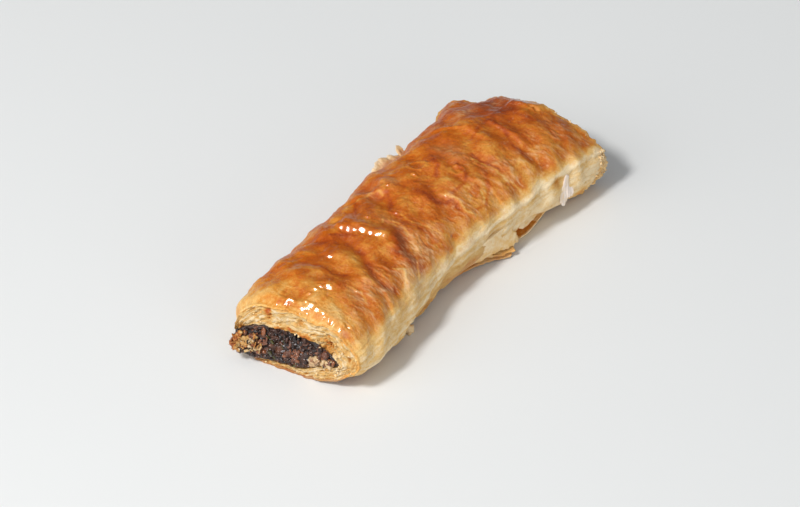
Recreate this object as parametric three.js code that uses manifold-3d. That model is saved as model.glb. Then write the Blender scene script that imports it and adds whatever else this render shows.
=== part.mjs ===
// A baked roll of glazed puff pastry, cut square at both ends, round a dark savoury filling that runs
// through it. Millimetres: X goes across the roll, Y along it from the cut where the filling bulges out,
// Z up. The origin is under the middle of the roll, on the surface that its flat base rests on.
//
// The crust is one closed skin. The outer surface, the layered rim of the far cut, the bore and the
// layered rim of the near cut follow each other as rings of points, and the last ring joins the first.
// Loose leaves of pastry are fused to it. The filling is a plug that follows the bore, a small gap inside
// it, and stands out of the cuts.
import * as THREE from "three";
import Module from "manifold-3d";
import { mergeVertices } from "three/addons/utils/BufferGeometryUtils.js";

const { PI, sin, cos, sign, abs, pow, exp, hypot, floor, min, max } = Math;
const wasm = await Module();
wasm.setup();

// ---- Driving dimensions ----

// The crust's plain outline: place along the roll, left edge, right edge and height of the crest.
const STATIONS = [
  { y: -71, left: -24.0, right: 25.5, crest: 28.5 },
  { y: -55, left: -26.5, right: 25.5, crest: 29.5 },
  { y: -35, left: -27.5, right: 23.0, crest: 29.0 },
  { y: -15, left: -27.5, right: 19.5, crest: 28.5 },
  { y: 5, left: -28.0, right: 20.0, crest: 28.0 },
  { y: 25, left: -28.5, right: 22.0, crest: 29.0 },
  { y: 45, left: -29.5, right: 25.0, crest: 29.0 },
  { y: 60, left: -32.0, right: 27.0, crest: 27.5 },
  { y: 71, left: -34.5, right: 27.5, crest: 23.5 },
];
const NEAR = STATIONS[0].y;
const FAR = STATIONS[STATIONS.length - 1].y;
const CUT_SKEW = 0.12; // both cuts lie this far off square, as a slope across the roll

const WAIST = 0.42; // the widest level, as a share of the crest's height
const SIDE_POWER = 2.5; // how square the section is at its sides,
const TOP_POWER = 2.2; // at its crest,
const BASE_POWER = 2.2; // and where it turns under
const BASE_PRESS = 2.0; // how far the round base is pressed flat
const TOE = { lift: 3.2, reach: 13, from: 5, to: 20 }; // the near cut's right toe is off the table

// Swells of the crust, and dents where the height is under 0: their centre along and round the roll, how
// far they reach each way, and their height. "Round" is the distance from the crest, positive to the right.
const SWELLS = [
  { along: -57, round: -3, reachAlong: 11, reachRound: 22, height: 0.9 },
  { along: -24, round: 1, reachAlong: 6, reachRound: 16, height: 1.4 },
  { along: -42, round: 12, reachAlong: 7, reachRound: 10, height: 0.9 },
  { along: 11, round: 2, reachAlong: 14, reachRound: 18, height: 1.0 },
  { along: 6, round: -24, reachAlong: 7, reachRound: 9, height: 2.2 },
  { along: 45, round: -4, reachAlong: 12, reachRound: 20, height: 1.2 },
  { along: 62, round: 14, reachAlong: 8, reachRound: 10, height: 0.9 },
  { along: 71, round: 3, reachAlong: 9, reachRound: 12, height: 2.6 },
  { along: 72, round: -23, reachAlong: 10, reachRound: 9, height: -2.6 },
  { along: 69, round: -37, reachAlong: 6, reachRound: 7, height: 3.0 },
];

// Creases of the top sheet, and ridges where the depth is under 0, each along a few [along, round] places.
const CREASES = [
  { path: [[-14, 0], [-17, 8], [-22, 15], [-27, 27]], width: 2.6, depth: 2.6 },
  { path: [[-29, -5], [-34, 7], [-38, 18], [-40, 26]], width: 2.4, depth: 1.8 },
  { path: [[-47, -8], [-46, 8]], width: 2.6, depth: 1.1 },
  { path: [[-37, -26], [-34, -15], [-33, -7]], width: 2.4, depth: 1.3 },
  { path: [[-1, -17], [-5, -11], [-5, -3]], width: 2.6, depth: 1.6 },
  { path: [[31, 4], [31, 17], [30, 27]], width: 2.4, depth: 1.4 },
  { path: [[47, 4], [46, 12], [45, 20], [48, 30]], width: 2.6, depth: 1.8 },
  { path: [[55, -33], [62, -27], [68, -20]], width: 2.4, depth: 1.3 },
  { path: [[-12, 2], [-13, 10], [-17, 21]], width: 2.2, depth: -1.1 },
  { path: [[27, -9], [28, 4], [27, 20]], width: 2.2, depth: -1.1 },
  { path: [[-13, -24], [-4, -17], [3, -7], [3, 3]], width: 2.2, depth: -1.1 },
  { path: [[57, 29], [57, 41]], width: 2.2, depth: -1.4 },
  // where the right side tucks under
  { path: [[-70, 37], [-30, 36], [0, 31], [25, 33], [52, 34]], width: 1.8, depth: 0.9 },
];

// Small waves over the whole crust: their height, and each one's turns along, turns round and phase.
const RIPPLE_HEIGHT = 0.35;
const RIPPLES = [
  [0.31, 0.17, 1.0],
  [0.19, -0.42, 2.2],
  [0.55, 0.33, 4.0],
];

// The bore's outline at the near cut, as points of a closed smooth curve, anticlockwise from the base.
const BORE = [
  [-3.5, 2.0], [2, 2.4], [6, 4.2], [10, 6.8], [15, 8.0], [17, 9.8], [14, 13.0],
  [7, 16.2], [-1, 17.3], [-10, 16.4], [-18, 14.0], [-21.2, 9.0], [-19.3, 4.0], [-12, 2.1],
];
const GAP = 0.45; // between the bore and the filling

// The layers of a rim, as rings between the crust's edge and the bore, each standing out or back a little.
const RIM_LAYERS = [
  { share: 0.1, out: 0.6 },
  { share: 0.26, out: -0.7 },
  { share: 0.42, out: 0.7 },
  { share: 0.58, out: -0.6 },
  { share: 0.76, out: 0.6 },
  { share: 0.9, out: -0.3 },
];
const POCKET = { x: 13, z: 16, reach: 4.2, depth: 2.6 }; // a hollow between the near rim's layers

// Loose leaves, each a sheet between a root line inside the crust and a free edge, both as a few points,
// with its thickness at the root and at the edge and the height of its waves.
const LEAVES = [
  {
    // the base sheet's loose edge on the right, which widens to a torn end
    root: [[9, -5, 1.2], [13, 10, 2.2], [16, 26, 3.0]],
    edge: [[12, -4, 1.0], [17.8, 11, 1.0], [25, 24.5, 1.5]],
    thickness: [3.6, 1.2],
    wave: 0.25,
  },
  {
    // the lip under the right side, which stands off it and leaves a narrow pocket
    root: [[15, 28, 1.6], [17, 41, 1.6], [19, 58, 1.8]],
    edge: [[22.6, 28, 5.4], [22.8, 40, 5.6], [23.2, 57, 3.4]],
    thickness: [1.6, 1.0],
    wave: 0.3,
  },
  {
    // the crumbly toe of the far cut
    root: [[16, 59, 2.0], [16, 65, 2.4], [16, 70, 4.0]],
    edge: [[23.5, 60, 1.6], [25, 66, 1.8], [25.5, 71, 4.0]],
    thickness: [2.4, 1.2],
    wave: 0.4,
  },
  {
    // the larger of two ragged flakes on the left
    root: [[-27.6, 18, 13], [-27.8, 23, 13], [-28, 29, 13.4]],
    edge: [[-31, 18.5, 13.4], [-33.5, 23, 14], [-32, 29, 13.4]],
    thickness: [1.4, 0.8],
    wave: 0.3,
  },
  {
    // the smaller one
    root: [[-27.8, 32, 13], [-27.9, 35, 13], [-28.1, 39, 13]],
    edge: [[-31.4, 32.4, 13.4], [-33, 35, 14], [-31, 38, 13]],
    thickness: [1.4, 0.8],
    wave: 0.3,
  },
];
const LEAF_CLEARANCE = 0.15; // of every leaf from the table
const LEAF_GRID = { lengthwise: 12, crosswise: 5 };
const TEARS = { count: 7, depth: 0.16 }; // notches of a leaf's free edge, as a share of its width

// Where the filling stands out of the near cut: the stem's and the whole reach, and how far it leans left.
const BULGE = { x: -18, z: 6.6, reach: 8, stem: 2.6, out: 5.0, aside: 3.6 };
const SET_BACK = 0.8; // of the filling's edge from the rims
const MINCE = 1.1; // how far the minced pieces stand in and out of the filling's faces
const FACE = { columns: 20, rows: 8, corner: -9 }; // a face's grid, and the ring's point at its corner

// How finely the surfaces are divided.
const ROUND = 2 * (FACE.columns + FACE.rows);
const ALONG = 64;
const BORE_STEPS = 8;
const FINE = 720;

const MIDDLE = { x: -4.3, y: -1.6 }; // of the whole roll as drawn here, which becomes the origin

const FINISHES = {
  crust: { color: 0xc8762d, roughness: 0.45, metalness: 0 },
  filling: { color: 0x35211f, roughness: 0.4, metalness: 0 },
};

// ---- Numbers and outlines ----

const mix = (a, b, t) => a + (b - a) * t;

const clamp01 = (t) => min(1, max(0, t));

const smooth = (a, b, t) => {
  const u = clamp01((t - a) / (b - a));
  return u * u * (3 - 2 * u);
};

// A round hump of height 1 over a place, from how far off it a point is each way and its reaches.
const hump = (a, b, reachA, reachB = reachA) => exp(-((a / reachA) ** 2) - (b / reachB) ** 2);

// One of the stations' values at a place along the roll, as a cubic from station to station.
function atStation(y, key) {
  const last = STATIONS.length - 1;
  const slope = (i) => {
    const a = STATIONS[max(0, i - 1)];
    const b = STATIONS[min(last, i + 1)];
    return (b[key] - a[key]) / (b.y - a.y);
  };
  let i = 0;
  while (i < last - 1 && y >= STATIONS[i + 1].y) i++;
  const h = STATIONS[i + 1].y - STATIONS[i].y;
  const t = (y - STATIONS[i].y) / h;
  return (
    (2 * t ** 3 - 3 * t ** 2 + 1) * STATIONS[i][key] +
    (t ** 3 - 2 * t ** 2 + t) * h * slope(i) +
    (3 * t ** 2 - 2 * t ** 3) * STATIONS[i + 1][key] +
    (t ** 3 - t ** 2) * h * slope(i + 1)
  );
}

// ROUND points at even distances on a closed [x, z] outline, each with its distance from the outline's
// first point and the outward normal there.
function evenly(outline) {
  const lengths = [0];
  for (let i = 1; i <= outline.length; i++) {
    const [a, b] = [outline[i - 1], outline[i % outline.length]];
    lengths.push(lengths[i - 1] + hypot(b[0] - a[0], b[1] - a[1]));
  }
  const girth = lengths[outline.length];
  const points = [];
  for (let k = 0, i = 0; k < ROUND; k++) {
    const at = (girth * k) / ROUND;
    while (lengths[i + 1] < at) i++;
    const t = (at - lengths[i]) / (lengths[i + 1] - lengths[i]);
    const [a, b] = [outline[i], outline[(i + 1) % outline.length]];
    points.push({ x: mix(a[0], b[0], t), z: mix(a[1], b[1], t), at });
  }
  points.forEach((point, k) => {
    const [before, after] = [points[(k + ROUND - 1) % ROUND], points[(k + 1) % ROUND]];
    const [dx, dz] = [after.x - before.x, after.z - before.z];
    point.nx = dz / hypot(dx, dz);
    point.nz = -dx / hypot(dx, dz);
  });
  return { points, girth };
}

// Where a point of the ring at y lies along the roll: the rings lean fully at the cuts, not at all between.
const leaning = (y, x) => y + CUT_SKEW * x * (y < 0 ? y / NEAR : y / FAR);

// ---- Faces ----

// The four-sided faces from each ring to the next, and with `closed` from the last ring to the first.
function between(rings, closed = false) {
  const faces = [];
  for (let r = 0; r < (closed ? rings.length : rings.length - 1); r++) {
    const [ring, next] = [rings[r], rings[(r + 1) % rings.length]];
    ring.forEach((point, i) => {
      const j = (i + 1) % ring.length;
      faces.push([point, next[i], next[j], ring[j]]);
    });
  }
  return faces;
}

// The faces of a grid of points. Seen from outside, its rows run to the right, one above the other.
const across = (rows) =>
  rows
    .slice(1)
    .flatMap((upper, r) => upper.slice(1).map((p, c) => [rows[r][c], rows[r][c + 1], p, upper[c]]));

const turned = (faces) => faces.map((face) => [...face].reverse());

// A geometry from four-sided faces. Faces that hold the same point object share that vertex.
function shell(faces) {
  const numbers = new Map();
  const positions = [];
  const number = (point) => {
    if (!numbers.has(point)) {
      numbers.set(point, numbers.size);
      positions.push(point.x, point.y, point.z);
    }
    return numbers.get(point);
  };
  const index = faces.flatMap((face) => {
    const [a, b, c, d] = face.map(number);
    return [a, b, d, d, b, c];
  });
  const geometry = new THREE.BufferGeometry();
  geometry.setAttribute("position", new THREE.Float32BufferAttribute(positions, 3));
  geometry.setIndex(index);
  return geometry;
}

// ---- The crust ----

// The plain section at y, from the middle of the base round to the right, over the crest and back.
function plainSection(y) {
  const [left, right, crest] = ["left", "right", "crest"].map((key) => atStation(y, key));
  const [middle, half, waist] = [(left + right) / 2, (right - left) / 2, WAIST * crest];
  return Array.from({ length: FINE }, (_, i) => {
    const angle = -PI / 2 + (2 * PI * i) / FINE;
    const [c, s] = [cos(angle), sin(angle)];
    const x = middle + half * sign(c) * pow(abs(c), 2 / SIDE_POWER);
    const above = waist + (crest - waist) * pow(abs(s), 2 / TOP_POWER);
    const below = waist - (waist + BASE_PRESS) * pow(abs(s), 2 / BASE_POWER);
    return [x, s > 0 ? above : max(0, below)];
  });
}

// The distance of a place from a path of [along, round] places.
function distanceTo(path, along, round) {
  let nearest = Infinity;
  for (let i = 1; i < path.length; i++) {
    const [[a0, r0], [a1, r1]] = [path[i - 1], path[i]];
    const [da, dr] = [a1 - a0, r1 - r0];
    const t = clamp01(((along - a0) * da + (round - r0) * dr) / (da ** 2 + dr ** 2));
    nearest = min(nearest, hypot(along - a0 - t * da, round - r0 - t * dr));
  }
  return nearest;
}

// How far the crust stands out of the plain section at a place along and round it.
function relief(along, round) {
  let out = 0;
  for (const [a, r, phase] of RIPPLES) out += RIPPLE_HEIGHT * sin(a * along + r * round + phase);
  for (const w of SWELLS)
    out += w.height * hump(along - w.along, round - w.round, w.reachAlong, w.reachRound);
  for (const { path, width, depth } of CREASES)
    out -= depth * hump(distanceTo(path, along, round), 0, width);
  return out;
}

// The ring of the outer surface at y.
function crustRing(y) {
  const { points, girth } = evenly(plainSection(y));
  return points.map(({ x, z, at, nx, nz }) => {
    const out = relief(y, girth / 2 - at) * smooth(0, 5, z);
    const toe = TOE.lift * smooth(TOE.reach, 0, y - NEAR) * smooth(TOE.from, TOE.to, x);
    const height = z + out * nz + toe * smooth(14, 2, z);
    return new THREE.Vector3(x + out * nx, leaning(y, x), max(0, height));
  });
}

const boreCurve = new THREE.CatmullRomCurve3(
  BORE.map(([x, z]) => new THREE.Vector3(x, 0, z)),
  true,
  "catmullrom",
);
const boreOutline = boreCurve
  .getPoints(FINE)
  .slice(1)
  .map((p) => [p.x, p.z]);

// The ring of the bore at y, or with an inset that of the filling inside it. The bore grows with the crust.
function boreRing(y, inset = 0) {
  const [left, right, crest] = ["left", "right", "crest"].map((key) => atStation(y, key));
  const [left0, right0, crest0] = ["left", "right", "crest"].map((key) => atStation(NEAR, key));
  const widen = (right - left) / (right0 - left0);
  const shift = (right + left - right0 - left0) / 2;
  return evenly(boreOutline).points.map(({ x, z, nx, nz }) => {
    const here = (x - inset * nx) * widen + shift;
    return new THREE.Vector3(here, leaning(y, here), ((z - inset * nz) * crest) / crest0);
  });
}

// The rings of a rim, from the crust's edge to the mouth of the bore. `outward` is -1 at the near cut.
function rimRings(edge, mouth, outward) {
  return RIM_LAYERS.map(({ share, out }) =>
    edge.map((p, i) => {
      const point = p.clone().lerp(mouth[i], share);
      const uneven = 0.75 + 0.45 * sin(0.9 * i + 11 * share) * cos(0.37 * i + 5 * share);
      const pocket = outward < 0 ? hump(point.x - POCKET.x, point.z - POCKET.z, POCKET.reach) : 0;
      point.y += outward * (out * uneven - POCKET.depth * pocket);
      return point;
    }),
  );
}

function crustBody() {
  const outer = Array.from({ length: ALONG + 1 }, (_, i) => crustRing(mix(NEAR, FAR, i / ALONG)));
  const bore = Array.from({ length: BORE_STEPS + 1 }, (_, i) =>
    boreRing(mix(FAR, NEAR, i / BORE_STEPS)),
  );
  const farRim = rimRings(outer[ALONG], bore[0], 1);
  const nearRim = rimRings(outer[0], bore[BORE_STEPS], -1).reverse();
  return shell(between([...outer, ...farRim, ...bore, ...nearRim], true));
}

// A loose leaf as a closed solid.
function leafBody({ root, edge, thickness, wave }) {
  const { lengthwise, crosswise } = LEAF_GRID;
  const [inner, outer] = [root, edge].map(
    (points) => new THREE.CatmullRomCurve3(points.map((p) => new THREE.Vector3(...p))),
  );
  const sheet = (side) =>
    Array.from({ length: lengthwise + 1 }, (_, i) =>
      Array.from({ length: crosswise + 1 }, (_, k) => {
        const [u, v] = [i / lengthwise, k / crosswise];
        const torn = i > 1 && i < lengthwise - 1 ? TEARS.depth * abs(sin(TEARS.count * u * PI)) : 0;
        const point = inner.getPoint(u).lerp(outer.getPoint(u), v * (1 - v * torn));
        point.z += wave * v * sin(9 * u + 3 * v) + (side * mix(...thickness, v)) / 2;
        point.z = max(point.z, LEAF_CLEARANCE);
        return point;
      }),
    );
  const [lower, upper] = [sheet(-1), sheet(1)];
  const rings = lower.map((row, i) => [...row, ...[...upper[i]].reverse()]);
  const start = across([lower[0], upper[0]]);
  const end = turned(across([lower[lengthwise], upper[lengthwise]]));
  const faces = [...between(rings), ...start, ...end];
  const rightwards = edge[0][0] > root[0][0];
  return shell(rightwards ? faces : turned(faces));
}

// ---- The filling ----

// A number between -1 and 1 for each place of a face's grid, with no pattern to it.
const scatter = (row, column) => {
  const t = sin(12.9898 * row + 78.233 * column + 3.1) * 43758.5453;
  return 2 * (t - floor(t)) - 1;
};

const bulge = ({ x, z }) => hump(x - BULGE.x, z - BULGE.z, BULGE.reach);

// A cut face of the filling, as a grid of points. Its border is the ring at the plug's end, and the points
// inside are blended from the four sides, then moved in and out by the minced pieces and by the bulge.
function fillingFace(ring, outward) {
  const { columns, rows, corner } = FACE;
  const around = (i) => ring[(corner + i + 2 * ROUND) % ROUND];
  const corners = [0, columns, columns + rows, ROUND - rows].map(around);
  return Array.from({ length: rows + 1 }, (_, r) =>
    Array.from({ length: columns + 1 }, (_, c) => {
      const [below, above] = [around(c), around(2 * columns + rows - c)];
      const [before, after] = [around(ROUND - r), around(columns + r)];
      if (r === 0) return below;
      if (r === rows) return above;
      if (c === 0) return before;
      if (c === columns) return after;
      const [u, v] = [c / columns, r / rows];
      const flat = corners[0].clone().lerp(corners[1], u);
      flat.lerp(corners[3].clone().lerp(corners[2], u), v);
      const point = below.clone().lerp(above, v).add(before.clone().lerp(after, u)).sub(flat);
      const swell = outward < 0 ? bulge(point) : 0;
      point.y += outward * (SET_BACK + MINCE * scatter(r, c)) - swell * (BULGE.out - BULGE.stem);
      point.x -= BULGE.aside * swell ** 2;
      return point;
    }),
  );
}

function fillingBody() {
  const run = Array.from({ length: BORE_STEPS + 1 }, (_, i) =>
    boreRing(mix(NEAR + SET_BACK, FAR - SET_BACK, i / BORE_STEPS), GAP),
  );
  const stem = run[0].map((p) => new THREE.Vector3(p.x, p.y - BULGE.stem * bulge(p), p.z));
  const near = across(fillingFace(stem, -1));
  const far = turned(across(fillingFace(run[BORE_STEPS], 1)));
  return shell([...near, ...between([stem, ...run]), ...far]);
}

// ---- Solids and the group ----

function toSolid(geometry) {
  const merged = mergeVertices(geometry, 1e-4);
  return new wasm.Manifold(
    new wasm.Mesh({
      numProp: 3,
      vertProperties: new Float32Array(merged.attributes.position.array),
      triVerts: new Uint32Array(merged.index.array),
    }),
  );
}

function toGeometry(solid) {
  const mesh = solid.getMesh();
  const geometry = new THREE.BufferGeometry();
  geometry.setAttribute("position", new THREE.BufferAttribute(mesh.vertProperties, mesh.numProp));
  geometry.setIndex(new THREE.BufferAttribute(mesh.triVerts, 1));
  return geometry;
}

function named(name, geometry) {
  geometry.translate(-MIDDLE.x, -MIDDLE.y, 0);
  const mesh = new THREE.Mesh(geometry, new THREE.MeshStandardMaterial(FINISHES[name]));
  mesh.name = name;
  return mesh;
}

let crust = toSolid(crustBody());
for (const leaf of LEAVES) crust = crust.add(toSolid(leafBody(leaf)));

const borek = new THREE.Group();
borek.add(named("crust", toGeometry(crust)));
borek.add(named("filling", fillingBody()));

export default borek;
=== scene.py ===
"""The looks of a baked roll of glazed puff pastry with a dark savoury filling.

Tables and formulas are in millimetres, in the roll's own drawing: x across it, y along it from the cut
where the filling bulges out, z up. "Along" is a place along the roll, and "around" is the distance from
the crest over the surface, positive to the right. Meshes are in metres, in the frame of the solid model.
"""

import math

import bpy
import numpy as np
from bpy.props import FloatProperty, FloatVectorProperty, IntProperty, PointerProperty
from mathutils import Matrix, Vector


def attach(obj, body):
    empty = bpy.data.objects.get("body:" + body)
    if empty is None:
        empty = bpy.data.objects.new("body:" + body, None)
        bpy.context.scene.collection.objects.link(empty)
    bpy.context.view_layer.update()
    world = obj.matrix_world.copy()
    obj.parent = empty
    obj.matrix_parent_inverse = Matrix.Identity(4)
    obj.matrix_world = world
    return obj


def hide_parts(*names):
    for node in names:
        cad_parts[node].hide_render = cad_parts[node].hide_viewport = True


bl_info = {
    "name": "Filled pastry roll",
    "version": (1, 0, 0),
    "blender": (4, 5, 0),
    "location": "3D View > Sidebar > Pastry roll",
    "description": "Makes the crust, the cut rims, the filling and the crumbs of a baked pastry roll",
    "category": "Add Mesh",
}

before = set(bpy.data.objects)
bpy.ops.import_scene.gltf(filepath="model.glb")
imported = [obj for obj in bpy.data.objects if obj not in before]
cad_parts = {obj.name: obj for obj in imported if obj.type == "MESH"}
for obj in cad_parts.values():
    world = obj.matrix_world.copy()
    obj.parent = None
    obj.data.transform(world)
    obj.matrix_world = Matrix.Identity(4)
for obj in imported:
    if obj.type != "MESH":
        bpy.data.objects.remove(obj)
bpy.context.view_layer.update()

BODY = "root"
MM = 0.001

# ---- Driving sizes, in millimetres ----

# The crust's plain outline: along, left edge, right edge, crest height.
STATIONS = np.array([
    (-71, -24.0, 25.5, 28.5),
    (-55, -26.5, 25.5, 29.5),
    (-35, -27.5, 23.0, 29.0),
    (-15, -27.5, 19.5, 28.5),
    (5, -28.0, 20.0, 28.0),
    (25, -28.5, 22.0, 29.0),
    (45, -29.5, 25.0, 29.0),
    (60, -32.0, 27.0, 27.5),
    (71, -34.5, 27.5, 23.5),
])
NEAR, FAR = STATIONS[0, 0], STATIONS[-1, 0]
CUT_SKEW = 0.12  # both cuts lie this far off square
MIDDLE = np.array((-4.3, -1.6, 0.0))  # of the roll as drawn, which is the model's origin

WAIST = 0.42  # share of the crest's height at which the roll is widest
SIDE_POWER, TOP_POWER, BASE_POWER = 2.5, 2.2, 2.2
BASE_PRESS = 2.0
# The right toe of the near cut: how high it is lifted, how far along the roll the lift reaches, between
# which places across it grows to the full, and between which heights it fades.
TOE_LIFT, TOE_REACH, TOE_FROM, TOE_TO = 3.2, 13.0, 5.0, 20.0
TOE_TOP, TOE_FOOT = 14.0, 2.0

# Swells and dents: along, around, reach along, reach around, height.
SWELLS = [
    (-57, -3, 11, 22, 0.9),
    (-24, 1, 6, 16, 1.4),
    (-42, 12, 7, 10, 0.9),
    (11, 2, 14, 18, 1.0),
    (6, -24, 7, 9, 2.2),
    (45, -4, 12, 20, 1.2),
    (62, 14, 8, 10, 0.9),
    (71, 3, 9, 13, 3.5),
    (72, -23, 10, 9, -2.6),
    (69, -37, 6, 7, 3.0),
]

# Creases, and ridges where the depth is under 0: width, depth, then the path's places.
CREASES = [
    (2.0, 0.7, [(-30, -6), (-34, 4), (-39, 10), (-42, 16), (-40, 23)]),
    (2.6, 0.6, [(-47, -8), (-46, 8)]),
    (2.4, 0.8, [(-37, -26), (-34, -15), (-33, -7)]),
    (2.6, 1.0, [(-1, -17), (-5, -11), (-5, -3)]),
    (2.4, 0.5, [(31, 4), (31, 17), (30, 27)]),
    (2.6, 0.8, [(47, 4), (46, 12), (45, 20), (48, 30)]),
    (2.4, 1.1, [(55, -33), (62, -27), (68, -20)]),
    (2.6, -0.12, [(-12, 2), (-13, 10), (-17, 21)]),
    (2.2, -0.5, [(27, -9), (28, 4), (27, 20)]),
    (2.2, -0.6, [(-13, -24), (-4, -17), (3, -7), (3, 3)]),
    (2.2, -0.8, [(57, 29), (57, 41)]),
    (2.0, 0.3, [(-70, 42), (-30, 38), (0, 32), (25, 32), (52, 34)]),
]

# Waves over the whole crust: turns along, turns around, phase.
RIPPLE_HEIGHT = 0.28
RIPPLES = [(0.31, 0.17, 1.0), (0.19, -0.42, 2.2), (0.55, 0.33, 4.0)]

# The bore's outline at the near cut, anticlockwise from the base.
BORE = np.array([
    (-3.5, 2.0), (2, 2.4), (6, 4.2), (10, 6.8), (15, 8.0), (17, 9.8), (14, 13.0),
    (7, 16.2), (-1, 17.3), (-10, 16.4), (-18, 14.0), (-21.2, 9.0), (-19.3, 4.0), (-12, 2.1),
])
BORE_STEPS = 52  # of the curve, from each of these places to the next
BULGE_X, BULGE_Z, BULGE_REACH, BULGE_OUT, BULGE_ASIDE = -17.0, 7.2, 7.5, 4.6, 2.2

# The edge of the top sheet along the right side, where it laps over the layers below, and the lines
# where the glaze ends on the right and on the left: along, around.
SEAM = np.array([
    (-71, 40.0), (-37, 36.0), (-19, 33.0), (-12, 30.0), (5, 28.5), (20, 29.0), (50, 30.0), (71, 31.0),
])
GLAZE_RIGHT = np.array([(-71, 28.0), (-40, 26.0), (-10, 25.5), (15, 25.5), (32, 27.0), (71, 29.0)])
GLAZE_LEFT = np.array([(-71, -33.0), (-40, -36.0), (0, -40.0), (40, -42.0), (71, -40.0)])

# Browner and paler places of the glazed top: along, around, reach along, reach around, amount.
BROWNED = [
    (-35, -13, 4, 5, 0.16), (-20, 11, 4, 4, 0.12), (-9, -11, 8, 5, 0.14), (5, 4, 2.5, 6, 0.12),
    (22, -5, 4, 4, 0.14), (33, -13, 4, 4, 0.16), (51, 5, 2.5, 9, 0.14), (44, 15, 2.5, 8, 0.12),
    (67, 27, 3, 3, 0.22), (-48, 4, 3, 5, 0.12), (-37, 8, 3, 4, 0.12), (62, -10, 9, 9, 0.27),
    (48, -18, 9, 6, 0.16), (-64, 10, 6, 10, -0.14), (-28, 10, 4, 4, -0.10), (-25.5, 17, 4, 4, 0.16),
    (12, 8, 6, 6, -0.10), (38, 9, 5, 5, -0.10), (57, 14, 7, 4, -0.14), (-41, 5, 7, 6, -0.10),
]
# Browner places of the pale sides, in the same way.
SIDE_BROWNED = [(3, 38, 9, 3, 0.16), (47, 32, 2.5, 3.5, 0.26), (57.5, 42, 3.5, 2.5, 0.34)]

# Places where a thin skin has lifted off and looks pale, and places where the glaze is thin: along,
# around, reach along, reach around, amount.
LIFTED = [
    (-15.5, 18, 3.5, 6, 1.1), (-31, 23, 6, 4, 0.9), (-24, 24, 3, 3, 0.8), (-53, 14, 4, 4, 0.4),
    (-14, 4, 2, 5, 0.6), (-4, -13, 4, 3, 0.4), (5, -11, 3, 3, 0.5), (29, -3, 3, 7, 0.5),
    (12, 13, 3, 6, 0.4), (53, -15, 6, 3, 0.7), (65, -9, 5, 2, 0.5), (33, 16, 3, 6, 0.4),
    (-45, 20, 3, 4, 0.5), (3, 38, 9, 3, 1.2),
]
DULL = [(-21, 10, 4, 5, 0.6), (-23, 16, 4, 4, 0.5)]

# Small sharp folds across the glazed top, steep on the side of the near cut: width, height, then the
# path's places in order of their distance around.
FOLDS = [
    (1.5, 1.1, [(-24.6, -12.0), (-24.0, -6.5), (-22.8, -2.5), (-22.4, 6.5)]),
    (1.0, 0.6, [(-40.2, -8.0), (-40.2, -1.5)]),
    (1.1, 0.6, [(-56.8, -0.5), (-55.4, 2.5), (-54.6, 7.5)]),
    (0.8, 0.6, [(29.6, 2.0), (30.2, 6.5), (30.4, 14.0)]),
    (0.8, 0.5, [(3.0, -13.5), (3.2, -9.0)]),
    (1.2, 0.9, [(66.0, -4.0), (67.0, 6.0)]),
    (0.9, 0.5, [(-20.6, -20.0), (-20.4, -15.0)]),
    (0.6, 0.25, [(-15.6, -1.0), (-13.0, 3.0), (-12.4, 5.5), (-14.4, 11.0), (-17.5, 18.0)]),
    (0.7, 0.5, [(-46.0, 11.0), (-44.0, 19.0), (-47.0, 27.0)]),
    (0.7, 0.5, [(-9.0, -17.0), (-1.5, -13.0), (0.0, -8.0)]),
    (0.7, 0.5, [(8.6, 7.0), (10.4, 13.0), (8.6, 18.0), (12.0, 25.0)]),
    (0.7, 0.5, [(24.0, 2.0), (20.0, 9.0), (24.0, 16.0), (23.0, 24.0)]),
    (0.8, 0.6, [(50.5, -4.0), (49.6, 4.0), (47.0, 14.0)]),
    (0.7, 0.5, [(38.0, -18.0), (43.0, -8.0), (41.0, 2.0)]),
    (0.6, 0.35, [(-34.0, 15.0), (-30.5, 19.0), (-33.0, 24.0)]),
    (0.6, 0.35, [(-27.0, 16.0), (-21.5, 20.0), (-25.5, 25.0)]),
]

# Blisters of the glaze, each flat in the middle: along, around, reach. All face the one way that
# BLISTERS_FACE gives.
BLISTERS = [
    (-26.4, -8.8, 1.3), (-26.1, -6.4, 1.4), (-25.6, -4.5, 1.0), (-24.6, -1.8, 1.5),
    (-24.5, 1.3, 1.2), (-24.4, 3.7, 0.9), (-41.8, -4.3, 1.1), (-57.2, 4.6, 1.4), (-58.4, 2.2, 1.0),
    (-60.8, 1.6, 1.0), (-63.2, 0.6, 0.7), (-68.5, -3.5, 1.6), (-66.8, 1.7, 0.9), (-67.2, 4.0, 1.2),
    (-67.8, 6.5, 1.1), (-68.0, 8.9, 1.0), (-69.8, 16.5, 1.2), (-67.0, 18.8, 0.9), (-52.0, 12.4, 0.8),
    (11.2, -5.5, 0.9), (-17.2, -4.6, 0.8), (-8.8, 1.6, 0.9), (1.2, -9.4, 0.8), (29.8, 4.7, 0.6),
    (49.4, 1.2, 0.7), (66.8, 3.3, 0.7), (67.0, 5.6, 0.9),
]
BLISTERS_FACE = (0.191, -0.652, 0.734)

# Raised rings on the top, round old bubbles: along, around, radius.
RINGS = [(17.0, -8.5, 2.6), (22.0, 4.5, 2.0)]

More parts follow.
